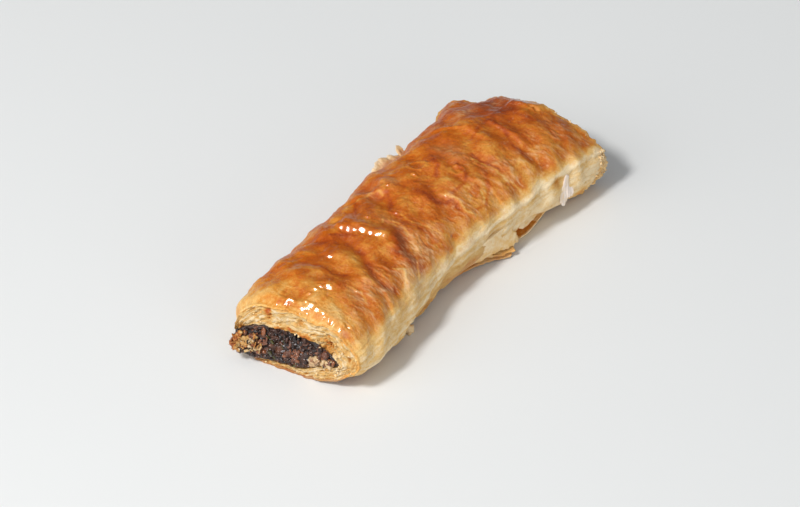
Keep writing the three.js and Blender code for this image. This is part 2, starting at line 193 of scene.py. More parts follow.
# Thin dark lines and pale lines on the glaze: width, amount of browning, then the path's places.
LINES = [
    (2.6, 0.34, [(-16, 7), (-20, 11), (-23.5, 14), (-22.5, 21)]),
    (1.3, 0.22, [(-33, 2), (-36, 7), (-40, 11), (-42.5, 15), (-42, 19), (-39, 23)]),
    (0.6, 0.22, [(-31, -11), (-28.5, -8), (-27.5, -3)]),
    (0.5, 0.14, [(-26, 10), (-25.5, 15), (-22, 19)]),
    (0.6, 0.26, [(31.8, 3.0), (31.4, 8.0), (31.6, 14.0)]),
    (0.8, 0.24, [(21.5, -5), (20, -2), (16, 0), (15, 2)]),
    (0.6, 0.22, [(24.5, 2), (22, 8), (18, 10.5), (11, 10)]),
    (0.7, 0.22, [(27.5, 12), (22, 18), (18, 20.5), (13, 20)]),
    (0.7, 0.20, [(5, 3), (4.5, 9), (9, 12), (8, 16)]),
    (0.6, 0.22, [(52, -3), (49, 4), (45, 10), (44, 18)]),
    (0.6, 0.20, [(-10, -15), (-14, -12), (-16.5, -10)]),
    (0.7, 0.20, [(-1, -8), (-5, -3), (-9, -1), (-9, 4)]),
    (0.6, 0.18, [(38, -2), (46, -4), (58, -5), (62, -1)]),
    (0.6, 0.20, [(-47, 6), (-49, 1), (-48, -6)]),
    (0.5, 0.18, [(-10, 12), (-8, 17), (-9, 22)]),
    (0.6, 0.18, [(60, 2), (61, 10), (59, 18)]),
    (0.35, -0.26, [(-16, 1), (-13.5, 0), (-12.8, 3), (-12.3, 5), (-13.2, 8), (-14.8, 11)]),
    (0.3, -0.26, [(-16, 2.5), (-14, 4), (-13.8, 8), (-16, 11.5)]),
    (0.35, -0.30, [(-10, -15), (-6, -14), (-3, -14), (-1.4, -12), (-2, -9)]),
    (0.35, -0.30, [(-33, 16), (-30, 19), (-33, 22), (-36, 25)]),
    (0.35, -0.32, [(-26.5, 25), (-23.5, 21), (-21, 19)]),
    (0.35, -0.28, [(-33, 27), (-29, 25), (-26, 26), (-22, 28)]),
    (0.4, -0.26, [(9, 8), (11, 13), (9, 18), (11, 21)]),
    (0.4, -0.26, [(30.4, 4), (30.6, 12), (30.2, 18), (32.6, 25)]),
    (0.35, -0.24, [(20, 16), (18.5, 19), (15, 21)]),
    (0.35, -0.22, [(53, -6), (51, 4), (52, 12)]),
    (0.35, -0.22, [(-8, 3), (-9, 8), (-7, 13), (-5, 18)]),
    (0.35, -0.24, [(-52, 10), (-51, 14), (-54, 18)]),
]
EDGE_DROOP, EDGE_REACH = 1.8, 3.6  # of the near cut's skin
SIDE_POCKET = (35.5, 42.5, 6.5, 3.0, 1.0)  # behind the lip: along, around, reaches and amount
SIDE_POCKET_DEPTH = 3.4

SKIN_THICKNESS = 0.8
INNER_INSET = 3.8  # of the skin's inner wall away from the cuts, behind the deepest crease
CREASE_BROWNED, CREASE_LEAST = 1.9, 0.5  # depths that are browned in full, and from which on
FLOOR_CLEARANCE = 0.05
OUTLINE_STEPS = 720

# ---- Numbers and noise ----


def smooth(start, end, value):
    """0 before start and 1 after end, with a cubic that has no slope at either."""
    share = np.clip((value - start) / (end - start), 0.0, 1.0)
    return share * share * (3.0 - 2.0 * share)


def hump(offset_a, offset_b, reach_a, reach_b):
    """A round hump of height 1: e to the minus sum of the squared offsets over their reaches."""
    return np.exp(-((offset_a / reach_a) ** 2) - (offset_b / reach_b) ** 2)


def ridge(offset, reach):
    """A round ridge of height 1: e to the minus squared offset over its reach."""
    return np.exp(-((offset / reach) ** 2))


def bend(t, start, end, start_slope, end_slope):
    """The cubic from start to end, as t goes from 0 to 1, with the given slopes at its ends."""
    return (
        (2 * t**3 - 3 * t**2 + 1) * start
        + (t**3 - 2 * t**2 + t) * start_slope
        + (3 * t**2 - 2 * t**3) * end
        + (t**3 - t**2) * end_slope
    )


class Grain:
    """Smooth gradient noise in space, about -1 to 1, with one blob to each unit."""

    SIZE = 256

    def __init__(self, seed):
        draw = np.random.default_rng(seed)
        self.order = draw.permutation(self.SIZE)
        slopes = draw.normal(size=(self.SIZE, 3))
        self.slopes = slopes / np.linalg.norm(slopes, axis=1, keepdims=True)

    def __call__(self, x, y, z=0.0):
        """The corners' slopes times the offsets to them, blended by a curve with level ends."""
        x, y, z = np.broadcast_arrays(x, y, z)
        cell = [np.floor(value).astype(np.int64) for value in (x, y, z)]
        part = [value - low for value, low in zip((x, y, z), cell)]
        ease = [p * p * p * (p * (p * 6.0 - 15.0) + 10.0) for p in part]
        total = np.zeros(x.shape)
        for i in (0, 1):
            for j in (0, 1):
                for k in (0, 1):
                    key = self.order[(cell[0] + i) % self.SIZE]
                    key = self.order[(key + cell[1] + j) % self.SIZE]
                    key = self.order[(key + cell[2] + k) % self.SIZE]
                    slope = self.slopes[key]
                    offset = (part[0] - i, part[1] - j, part[2] - k)
                    weight = 1.0
                    for axis, corner in enumerate((i, j, k)):
                        weight = weight * (ease[axis] if corner else 1.0 - ease[axis])
                    total += weight * sum(slope[..., a] * offset[a] for a in range(3))
        return 1.7 * total

    def rough(self, x, y, z=0.0, octaves=3):
        """Several noises added up, each twice as fine and half as high as the one before."""
        total = 0.0
        for octave in range(octaves):
            fine = 2.0**octave
            total = total + self(x * fine, y * fine, z * fine + 7.3 * octave) / fine
        return total

    def ridged(self, x, y, z=0.0):
        """Thin sharp ridges: 1 minus twice the noise's distance from 0, so about 0 to 1."""
        return np.clip(1.0 - 2.2 * np.abs(self(x, y, z)), -0.2, 1.0)


grain = Grain(41)


def cells(x, y, z, size, seed):
    """For each point, the distance in cells to its nearest of the scattered centres, one to each cube
    of that size, the distance to the second nearest, and a number from 0 to 1 that the centre holds."""
    points = np.stack([x, y, z], -1) / size
    base = np.floor(points).astype(np.int64)
    first = np.full(x.shape, np.inf)
    second = np.full(x.shape, np.inf)
    held = np.zeros(x.shape)
    table = np.random.default_rng(seed).random((4096, 4))
    for step in np.ndindex(3, 3, 3):
        cube = base + np.array(step) - 1
        key = (cube[..., 0] * 73 + cube[..., 1] * 179 + cube[..., 2] * 283 + seed) % len(table)
        centre = cube + table[key][..., :3]
        distance = np.linalg.norm(points - centre, axis=-1)
        closer = distance < first
        second = np.where(closer, first, np.minimum(second, distance))
        held = np.where(closer, table[key][..., 3], held)
        first = np.where(closer, distance, first)
    return first, second, held


# ---- The crust's form ----


def at_station(along, column):
    """One of the stations' values at places along the roll, as a cubic from station to station whose
    slope at each station is that between its two neighbours."""
    places, values = STATIONS[:, 0], STATIONS[:, column]
    last = len(places) - 1
    before = np.maximum(np.arange(last + 1) - 1, 0)
    after = np.minimum(np.arange(last + 1) + 1, last)
    slopes = (values[after] - values[before]) / (places[after] - places[before])
    i = np.clip(np.searchsorted(places, along, side="right") - 1, 0, last - 1)
    width = places[i + 1] - places[i]
    t = (along - places[i]) / width
    return bend(t, values[i], values[i + 1], width * slopes[i], width * slopes[i + 1])


def resampled(lengths, values, targets):
    """Each row's values at new distances along it. Rows are set end to end, so one search serves all."""
    span = lengths.max() + 1.0
    shift = np.arange(len(lengths))[:, None] * span
    flat = np.interp((targets + shift).ravel(), (lengths + shift).ravel(), values.ravel())
    return flat.reshape(targets.shape)


def even_rings(x, z, shares):
    """Closed outlines, one to a row, at the given shares of their girth: x, z, outward normals, the
    distance around, and the girth. The distances are running sums of the steps between points."""
    x = np.concatenate([x, x[:, :1]], 1)
    z = np.concatenate([z, z[:, :1]], 1)
    steps = np.hypot(np.diff(x, axis=1), np.diff(z, axis=1))
    lengths = np.concatenate([np.zeros((len(x), 1)), np.cumsum(steps, 1)], 1)
    girth = lengths[:, -1:]
    at = girth * shares[None, :]
    x, z = resampled(lengths, x, at), resampled(lengths, z, at)
    dx = np.roll(x, -1, 1) - np.roll(x, 1, 1)
    dz = np.roll(z, -1, 1) - np.roll(z, 1, 1)
    size = np.hypot(dx, dz)
    return x, z, dz / size, -dx / size, at, girth


def plain_rings(along, shares):
    """The plain sections, from the middle of the base to the right and over the crest. Each is a rounded
    box: the sine and cosine of an angle raised to powers, with the base pressed flat at height 0."""
    left, right, crest = (at_station(along, column)[:, None] for column in (1, 2, 3))
    angle = -math.pi / 2 + 2 * math.pi * np.arange(OUTLINE_STEPS)[None, :] / OUTLINE_STEPS
    c, s = np.cos(angle), np.sin(angle)
    waist = WAIST * crest
    x = (left + right) / 2 + (right - left) / 2 * np.sign(c) * np.abs(c) ** (2 / SIDE_POWER)
    above = waist + (crest - waist) * np.abs(s) ** (2 / TOP_POWER)
    below = waist - (waist + BASE_PRESS) * np.abs(s) ** (2 / BASE_POWER)
    return even_rings(x, np.where(s > 0, above, np.maximum(0.0, below)), shares)


def distance_to(path, along, around):
    """The distance of places from a path of straight stretches."""
    nearest = np.full(np.shape(along), np.inf)
    for (a0, r0), (a1, r1) in zip(path, path[1:]):
        da, dr = a1 - a0, r1 - r0
        t = np.clip(((along - a0) * da + (around - r0) * dr) / (da * da + dr * dr), 0, 1)
        nearest = np.minimum(nearest, np.hypot(along - a0 - t * da, around - r0 - t * dr))
    return nearest


def large_relief(along, around):
    """Ripples as sines, plus the swells' humps, less a hump across each crease."""
    out = np.zeros(np.shape(along))
    for turns_along, turns_around, phase in RIPPLES:
        out += RIPPLE_HEIGHT * np.sin(turns_along * along + turns_around * around + phase)
    for a, r, reach_a, reach_r, height in SWELLS:
        out += height * hump(along - a, around - r, reach_a, reach_r)
    for width, depth, path in CREASES:
        out -= depth * ridge(distance_to(path, along, around), width)
    return out


def creased(along, around):
    """How deep in a crease a place is, from 0 to about 1."""
    out = np.zeros(np.shape(along))
    for width, depth, path in CREASES:
        if depth > CREASE_LEAST:
            browned = depth / CREASE_BROWNED * ridge(distance_to(path, along, around), 1.2 * width)
            out = np.maximum(out, browned)
    return out


def patches(places, along, around):
    """The sum of humps at a list of places."""
    out = np.zeros(np.shape(along))
    for a, r, reach_a, reach_r, amount in places:
        out += amount * hump(along - a, around - r, reach_a, reach_r)
    return out


def shoulder(along, around):
    """From 0 on the top to 1 on the pale sides. The line between wanders with the noise."""
    wander = 3.0 * grain(along / 11, around / 30, 5.1) + 1.4 * grain(along / 3, around / 9, 8.8)
    right = np.interp(along, *GLAZE_RIGHT.T)
    left = np.interp(along, *GLAZE_LEFT.T)
    rightwards = smooth(right - 4.5, right + 2.5, around + 0.7 * wander)
    leftwards = smooth(left + 5, left - 4, around + wander)
    return np.maximum(rightwards, leftwards)


def past_seam(along, around):
    """How far below the edge of the top sheet a place on the right side is. The edge wanders."""
    wander = 0.9 * grain(along / 5.0, 3.0, 1.0) + 0.5 * grain(along / 1.7, 6.0, 1.0)
    return around - np.interp(along, *SEAM.T) - wander


def leaning(along, x):
    """Rings lean fully at the cuts and not at all in the middle."""
    share = np.where(along < 0, along / NEAR, along / FAR)
    return along + CUT_SKEW * x * share


def toe_lift(along, x, z):
    """How far the right toe of the near cut is off the floor: the product of three blends."""
    lift = TOE_LIFT * smooth(TOE_REACH, 0.0, along - NEAR) * smooth(TOE_FROM, TOE_TO, x)
    return lift * smooth(TOE_TOP, TOE_FOOT, z)


# ---- Meshes ----


def grid_faces(rows, columns, wrap_rows=False, wrap_columns=False, first=0):
    """The four-sided faces of a grid of points that are numbered row by row."""
    r = np.arange(rows if wrap_rows else rows - 1)[:, None]
    c = np.arange(columns if wrap_columns else columns - 1)[None, :]
    next_r, next_c = (r + 1) % rows, (c + 1) % columns
    corners = [r * columns + c, r * columns + next_c, next_r * columns + next_c, next_r * columns + c]
    return first + np.stack(corners, -1).reshape(-1, 4)


def signed_volume(points, faces):
    """A sixth of the sum of triple products over the faces' triangles: positive if they face outwards."""
    a, b, c = points[faces[:, 0]], points[faces[:, 1]], points[faces[:, 2]]
    total = np.einsum("ij,ij->", a, np.cross(b, c))
    if faces.shape[1] == 4:
        d = points[faces[:, 3]]
        total += np.einsum("ij,ij->", a, np.cross(c, d))
    return total / 6.0


def make_piece(name, points, face_sets, finish, node, marks=None, uv=None):
    """A mesh piece from points in the drawing's millimetres, and arrays of three- or four-sided faces.
    Faces are turned to point outwards. Marks are values held by the points."""
    volume = sum(signed_volume(points, faces) for faces in face_sets)
    if volume < 0:
        face_sets = [faces[:, ::-1] for faces in face_sets]
        uv = None if uv is None else [corners[:, ::-1] for corners in uv]
    loops = np.concatenate([faces.ravel() for faces in face_sets]).astype(np.int32)
    counts = np.concatenate([np.full(len(faces), faces.shape[1]) for faces in face_sets])
    starts = np.concatenate([[0], np.cumsum(counts)[:-1]]).astype(np.int32)
    mesh = bpy.data.meshes.new(name)
    mesh.vertices.add(len(points))
    mesh.vertices.foreach_set("co", ((points - MIDDLE) * MM).astype(np.float32).ravel())
    mesh.loops.add(len(loops))
    mesh.loops.foreach_set("vertex_index", loops)
    mesh.polygons.add(len(counts))
    mesh.polygons.foreach_set("loop_start", starts)
    mesh.update(calc_edges=True)
    if uv is not None:
        layer = mesh.uv_layers.new(name="spread")
        corners = np.concatenate([c.reshape(-1, 2) for c in uv])
        layer.data.foreach_set("uv", corners.astype(np.float32).ravel())
    for mark, values in (marks or {}).items():
        held = mesh.attributes.new(mark, "FLOAT", "POINT")
        held.data.foreach_set("value", np.asarray(values, np.float32).ravel())
    mesh.polygons.foreach_set("use_smooth", np.ones(len(counts), bool))
    if mesh.validate():
        raise ValueError(f"{name} has faces that Blender had to mend")
    mesh.materials.append(finish)
    piece = bpy.data.objects.new(name, mesh)
    bpy.context.scene.collection.objects.link(piece)
    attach(piece, BODY)
    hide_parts(node)
    return piece


# ---- Materials ----


class Board:
    """A node tree that nodes are added to one after another, each fed as it is made."""

    def __init__(self, tree):
        self.tree = tree

    def add(self, kind, settings=None, **feeds):
        """A node of that kind. Feeds name its inputs, with a value or another node's output for each."""
        node = self.tree.nodes.new(kind)
        for key, value in (settings or {}).items():
            setattr(node, key, value)
        for key, value in feeds.items():
            socket = node.inputs[int(key[1:])] if key[0] == "i" and key[1:].isdigit() else node.inputs[key]
            self.feed(socket, value)
        return node

    def feed(self, socket, value):
        """Link another node's output to a socket, or set the socket's own value."""
        if isinstance(value, bpy.types.NodeSocket):
            self.tree.links.new(value, socket)
        else:
            socket.default_value = value

    def math(self, operation, a, b=0.0, clamp=False):
        """One step of arithmetic."""
        node = self.add("ShaderNodeMath", {"operation": operation, "use_clamp": clamp}, i0=a, i1=b)
        return node.outputs[0]

    def dot(self, a, b):
        """The dot product of two vectors."""
        return self.add("ShaderNodeVectorMath", {"operation": "DOT_PRODUCT"}, i0=a, i1=b).outputs["Value"]

    def noise(self, place, scale, detail=2.0, rough=0.5, swirl=0.0):
        """Noise from 0 to 1, with the scale in blobs to the metre."""
        node = self.add("ShaderNodeTexNoise", Vector=place, Scale=scale, Detail=detail, Roughness=rough,
                        Distortion=swirl)
        return node.outputs["Fac"]

    def stretched(self, place, factors):
        """A place whose three coordinates are multiplied."""
        return self.add("ShaderNodeMapping", Vector=place, Scale=factors).outputs["Vector"]

    def span(self, value, low, high, to_low=0.0, to_high=1.0):
        """A value eased from one range to another, and held at its ends."""
        node = self.add("ShaderNodeMapRange", {"interpolation_type": "SMOOTHSTEP"}, i0=value, i1=low,
                        i2=high, i3=to_low, i4=to_high)
        return node.outputs[0]

    def blend(self, share, a, b):
        """A mix of two colours."""
        node = self.add("ShaderNodeMix", {"data_type": "RGBA"}, i0=share, i6=a, i7=b)
        return node.outputs[2]

    def ramp(self, value, stops):
        """A colour between the nearest two of the stops, each a place and a colour."""
        node = self.add("ShaderNodeValToRGB", Fac=value)
        elements = node.color_ramp.elements
        while len(elements) < len(stops):
            elements.new(0.5)
        for element, (place, colour) in zip(elements, stops):
            element.position = place
            element.color = (*colour, 1.0)
        return node.outputs["Color"]

    def bump(self, normal, height, distance, strength):
        """Feed a shader's normal from a height, which stands for that distance in metres."""
        node = self.add("ShaderNodeBump", Height=height, Distance=distance, Strength=strength)
        self.feed(normal, node.outputs["Normal"])

    def held(self, name):
        """The value of that name that the mesh's points hold."""
        return self.add("ShaderNodeAttribute", {"attribute_name": name}).outputs["Fac"]

    def place(self):
        """The place in the object's own coordinates."""
        return self.add("ShaderNodeTexCoord").outputs["Object"]

    def uv(self):
        """The place on the spread surface: along and around."""
        return self.add("ShaderNodeUVMap", {"uv_map": "spread"}).outputs["UV"]


def new_group(name, inputs, outputs):
    """A shader group with named sockets, or the one that is there already, and its board."""
    found = bpy.data.node_groups.get(name)
    if found:
        return found, None
    group = bpy.data.node_groups.new(name, "ShaderNodeTree")
    for label, kind, value in inputs:
        socket = group.interface.new_socket(name=label, in_out="INPUT", socket_type=kind)
        if value is not None:
            socket.default_value = value
    for label, kind in outputs:
        group.interface.new_socket(name=label, in_out="OUTPUT", socket_type=kind)
    return group, Board(group)


# The dark tone of painted shade: between leaves of pastry, and on the crust's base and low side.
GAP_COLOUR = (0.09, 0.05, 0.03)  # of the shade between leaves of pastry


def baked_colour_group(look):
    """Pale dough to dark brown by how much it is browned, mottled at two scales, with thin lifted skin
    laid over as a paler, pinker tone. Thin pale lines, partly flake edges and partly painted glints, are
    laid over it too, and Shade blends in painted shade."""
    group, board = new_group(
        "Baked colour",
        [
            ("Place", "NodeSocketVector", None),
            ("Browned", "NodeSocketFloat", 0.5),
            ("Lifted", "NodeSocketFloat", 0.0),
            ("Mottle", "NodeSocketFloat", 0.1),
            ("Veins", "NodeSocketFloat", 0.0),
            ("Shade", "NodeSocketFloat", 0.0),
        ],
        [("Color", "NodeSocketColor"), ("Rough", "NodeSocketFloat")],
    )
    if board is None:
        return group
    start = board.add("NodeGroupInput")
    place, browned = start.outputs["Place"], start.outputs["Browned"]
    coarse = board.noise(place, 330.0, 4.0, 0.6, 1.2)
    fine = board.noise(place, 1500.0, 4.0, 0.7)
    spots = board.math("ADD", board.math("MULTIPLY", coarse, 2.0), board.math("MULTIPLY", fine, 1.8))
    spots = board.math("SUBTRACT", spots, 1.9)
    value = board.math("ADD", browned, board.math("MULTIPLY", spots, start.outputs["Mottle"]), clamp=True)
    baked = board.ramp(value, [
        (0.0, look.pale),
        (0.22, look.straw),
        (0.42, look.gold),
        (0.62, look.orange),
        (0.82, look.amber),
        (1.0, look.dark),
    ])
    streaks = board.noise(board.stretched(place, (1.0, 0.3, 1.0)), 1500.0, 3.0, 0.65)
    bare = board.span(streaks, 0.4, 0.62, 0.25, 0.95)
    over = board.math("MULTIPLY", start.outputs["Lifted"], bare, clamp=True)
    # Thin pale lines on the glaze: partly flake edges, partly painted glints on the wrinkles.
    veins = board.noise(place, 240.0, 3.0, 0.55, 1.6)
    thin = board.span(board.math("ABSOLUTE", board.math("SUBTRACT", veins, 0.5)), 0.0, 0.014, 1.0, 0.0)
    thin = board.math("MULTIPLY", thin, board.span(coarse, 0.42, 0.6))
    thin = board.math("MULTIPLY", thin, start.outputs["Veins"])
    over = board.math("MAXIMUM", over, thin)
    colour = board.blend(over, baked, (*look.lifted, 1.0))
    colour = board.blend(start.outputs["Shade"], colour, (*GAP_COLOUR, 1.0))
    rough = board.span(value, 0.12, 0.5, 0.66, 0.34)
    end = board.add("NodeGroupOutput")
    board.feed(end.inputs["Color"], colour)
    board.feed(end.inputs["Rough"], rough)
    return group


def grain_height_group():
    """Fine flaky grain as a height: short streaks along the surface plus small pits."""
    group, board = new_group(
        "Flaky grain",
        [
            ("Place", "NodeSocketVector", None),
            ("Streaks", "NodeSocketFloat", 1.0),
            ("Across", "NodeSocketFloat", 0.0),
        ],
        [("Height", "NodeSocketFloat")],
    )
    if board is None:
        return group
    start = board.add("NodeGroupInput")
    place = start.outputs["Place"]
    along = board.noise(board.stretched(place, (0.35, 1.6, 1.0)), 900.0, 3.0, 0.6)
    across = board.noise(board.stretched(place, (1.3, 0.45, 1.0)), 1000.0, 4.0, 0.65)
    share = start.outputs["Across"]
    streaks = board.math("MULTIPLY", across, share)
    streaks = board.math("ADD", streaks, board.math("MULTIPLY", along, board.math("SUBTRACT", 1.0, share)))
    pits = board.noise(place, 1900.0, 3.0, 0.65)
    height = board.math("MULTIPLY", streaks, start.outputs["Streaks"])
    height = board.math("ADD", height, board.math("MULTIPLY", pits, 0.7))
    end = board.add("NodeGroupOutput")
    board.feed(end.inputs["Height"], height)
    return group


def placed(board, group, **feeds):
    """A shader group placed in a material and fed."""
    return board.add("ShaderNodeGroup", {"node_tree": group}, **feeds)


def new_finish(name):
    """A material with its shader and a board to add to."""
    material = bpy.data.materials.new(name)
    material.use_nodes = True
    return material, Board(material.node_tree), material.node_tree.nodes["Principled BSDF"]


def crust_finish():
    """Egg-glazed top that turns to matte pale dough at the sides. How much it is browned, lifted and
    glazed, and how much painted shade it has, comes from the mesh, and the grain follows its spread
    surface."""
    look = bpy.context.scene.pastry_crust
    material, board, shader = new_finish("glazed crust")
    place = board.uv()
    browned, lifted, glazed = (board.held(mark) for mark in ("browned", "lifted", "glazed"))
    # The thin pale lines, partly painted glints, lie on the glaze alone.
    veins = board.math("MULTIPLY", glazed, 0.5)
    colours = placed(board, baked_colour_group(look), Place=place, Browned=browned, Lifted=lifted,
                     Mottle=0.20, Veins=veins, Shade=board.held("painted_shade"))
    board.feed(shader.inputs["Base Color"], colours.outputs["Color"])
    board.feed(shader.inputs["Roughness"], colours.outputs["Rough"])
    board.feed(shader.inputs["Coat Weight"], board.math("MULTIPLY", glazed, look.glaze))
    shader.inputs["Coat Roughness"].default_value = 0.1
    shader.inputs["Coat IOR"].default_value = 1.4
    shader.inputs["Specular IOR Level"].default_value = 0.2
    heights = placed(board, grain_height_group(), Place=place, Streaks=1.0, Across=glazed)
    board.bump(shader.inputs["Normal"], heights.outputs["Height"], 0.45 * MM, 0.8)
    board.bump(shader.inputs["Coat Normal"], board.noise(place, 600.0, 2.0, 0.5), 0.1 * MM, 0.5)
    return material


def dough_finish(name, mottle, shade=0.0, raw=0.0):
    """Bare baked dough: rims, leaves and crumbs. How much it is browned comes from the mesh, raw is the
    share of underbaked dough over it, and shade is the share of painted shade."""
    look = bpy.context.scene.pastry_crust
    found = bpy.data.materials.get(name)
    if found:
        return found
    material, board, shader = new_finish(name)
    place = board.place()
    browned, lifted = board.held("browned"), board.held("lifted")
    colours = placed(board, baked_colour_group(look), Place=place, Browned=browned, Lifted=lifted,
                     Mottle=mottle, Shade=shade)
    colour = colours.outputs["Color"]
    if raw:
        patchy = board.span(board.noise(place, 380.0, 3.0, 0.6), 0.35, 0.55, 0.45 * raw, raw)
        colour = board.blend(patchy, colour, (*look.raw, 1.0))
    board.feed(shader.inputs["Base Color"], colour)
    board.feed(shader.inputs["Roughness"], colours.outputs["Rough"])
    shader.inputs["Specular IOR Level"].default_value = 0.2
    heights = placed(board, grain_height_group(), Place=place, Streaks=0.6)
    board.bump(shader.inputs["Normal"], heights.outputs["Height"], 0.3 * MM, 0.6)
    return material


def mince_finish(name, colour, second, coat):
    """Moist filling: two tones by noise and by a number that each bit holds, under a wet coat."""
    found = bpy.data.materials.get(name)
    if found:
        return found
    material, board, shader = new_finish(name)
    place = board.place()
    share = board.math("MULTIPLY", board.noise(place, 700.0, 4.0, 0.6), 0.7)
    share = board.math("ADD", share, board.math("MULTIPLY", board.held("bit"), 0.7))
    share = board.math("ADD", share, board.math("MULTIPLY", board.noise(place, 150.0, 2.0, 0.5), 0.9))
    share = board.span(share, 0.95, 1.75)
    board.feed(shader.inputs["Base Color"], board.blend(share, (*colour, 1.0), (*second, 1.0)))
    board.feed(shader.inputs["Roughness"], board.span(board.noise(place, 1100.0, 2.0), 0.35, 0.7, 0.3, 0.6))
    shader.inputs["Coat Weight"].default_value = coat
    shader.inputs["Coat Roughness"].default_value = 0.10
    shader.inputs["Specular IOR Level"].default_value = 0.3
    board.bump(shader.inputs["Normal"], board.noise(place, 1000.0, 5.0, 0.7), 0.6 * MM, 0.5)
    board.bump(shader.inputs["Coat Normal"], board.noise(place, 1500.0, 2.0, 0.6), 0.6 * MM, 1.0)
    return material


# ---- Settings ----


def colour_setting(label, about, value):
    """A colour that a user can change."""
    return FloatVectorProperty(name=label, description=about, default=value, subtype="COLOR", size=3,
                               min=0.0, max=1.0)


def length_setting(label, about, value):
    """A length that a user can change, given in millimetres."""
    return FloatProperty(name=label, description=about, default=value * MM, unit="LENGTH", min=0.0)


class PastryCrustSettings(bpy.types.PropertyGroup):
    """Sizes and colours of the crust."""

    cell: length_setting("Cell", "Size of the crust's mesh cells on its visible sides", 0.43)
    wrinkles: length_setting("Wrinkles", "Height of the thin wrinkles of the glazed top", 0.21)
    lumps: length_setting("Lumps", "Height of the soft lumps of the glazed top", 0.28)
    side_lines: length_setting("Side lines", "Height of the layers' lines along the sides", 0.23)
    glaze: FloatProperty(name="Glaze", description="Strength of the egg glaze", default=0.95, min=0.0,
                         max=1.0, subtype="FACTOR")
    pale: colour_setting("Pale dough", "Dough that has hardly browned", (0.90, 0.72, 0.46))
    straw: colour_setting("Straw", "Lightly baked dough", (0.80, 0.50, 0.17))
    gold: colour_setting("Gold", "Golden crust", (0.66, 0.27, 0.040))
    orange: colour_setting("Orange", "Crust as it is over most of the top", (0.53, 0.124, 0.006))
    amber: colour_setting("Amber", "Darker crust in the folds", (0.40, 0.068, 0.005))
    dark: colour_setting("Dark", "The brownest spots", (0.27, 0.042, 0.004))
    raw: colour_setting("Underbaked", "Smooth dough that is hardly baked", (0.88, 0.77, 0.70))
    # This pale tone also carries painted sheen in the flanks' streaks.
    lifted: colour_setting("Lifted skin", "Thin skin that has come off the glaze", (0.74, 0.44, 0.22))


class PastryRimSettings(bpy.types.PropertyGroup):
    """Sizes of the cut rims."""

    layer: length_setting("Layer", "Distance from one layer of pastry to the next", 0.75)
    ragged: length_setting("Raggedness", "How far layers stand out or back at a cut", 0.36)
    holes: length_setting("Holes", "Depth of the air holes between layers", 0.8)


class PastryFillingSettings(bpy.types.PropertyGroup):
    """Sizes, numbers and colours of the filling."""

    bit: length_setting("Bit size", "Size of the larger minced bits", 2.8)
    count: IntProperty(name="Bits", description="Loose bits at each cut", default=300, min=0, max=1500)
    meat: colour_setting("Dark mince", "Most of the filling", (0.018, 0.009, 0.008))
    meat_light: colour_setting("Lighter mince", "The mince's lighter tone", (0.150, 0.052, 0.026))
    red: colour_setting("Red-brown", "Translucent red-brown bits", (0.27, 0.082, 0.024))
    green: colour_setting("Green", "Herb bits", (0.085, 0.08, 0.02))
    onion: colour_setting("Onion", "Pale glassy bits", (0.66, 0.46, 0.24))
    # These pale specks are painted glints: small bits that stand for the wet filling's highlights.
    glint_tone: colour_setting("Glint specks", "Small pale specks, painted glints of the wet filling", (0.46, 0.44, 0.46))


class PastryStageSettings(bpy.types.PropertyGroup):
    """Floor and light."""

    floor: colour_setting("Floor", "Colour of the floor", (0.80, 0.815, 0.82))
    key: FloatProperty(name="Key light", description="Power of the key light", default=15.9, min=0.0,
                       unit="POWER")
    key_size: FloatProperty(name="Key size", description="Width of the key light", default=0.28,
                            min=0.0, unit="LENGTH")
    window: FloatProperty(name="Window", description="Strength of the soft light past the near cut",
                          default=1.6, min=0.0)
    fill: FloatProperty(name="Fill light", description="Power of the soft light from the right",
                        default=7.5, min=0.0, unit="POWER")
    fill_size: FloatProperty(name="Fill size", description="Width of the soft light", default=1.2,
                             min=0.0, unit="LENGTH")
    sky: FloatProperty(name="Sky", description="Strength of the light from all around", default=0.31,
                       min=0.0)


# ---- The crust ----

GIRTH = 118.0  # about, round the crust
BASE_COARSER = 2.2  # cells under the base are this many times wider
RAGGED_NEAR, RAGGED_FAR, RAGGED_REACH = 0.45, 0.72, 3.5  # how far the skin's ends are torn, and from where
LIP_ROWS = 3
INNER_ROWS = 24


def column_shares(count):
    """Shares of the girth, closer on the sides and top than under the base: running sums of a spacing
    that grows by a hump round the base's middle."""
    u = (np.arange(count) + 0.5) / count
    from_base = np.minimum(u, 1.0 - u)
    spacing = 1.0 + (BASE_COARSER - 1.0) * ridge(from_base, 0.1)
    return np.concatenate([[0.0], np.cumsum(spacing)[:-1]]) / spacing.sum()


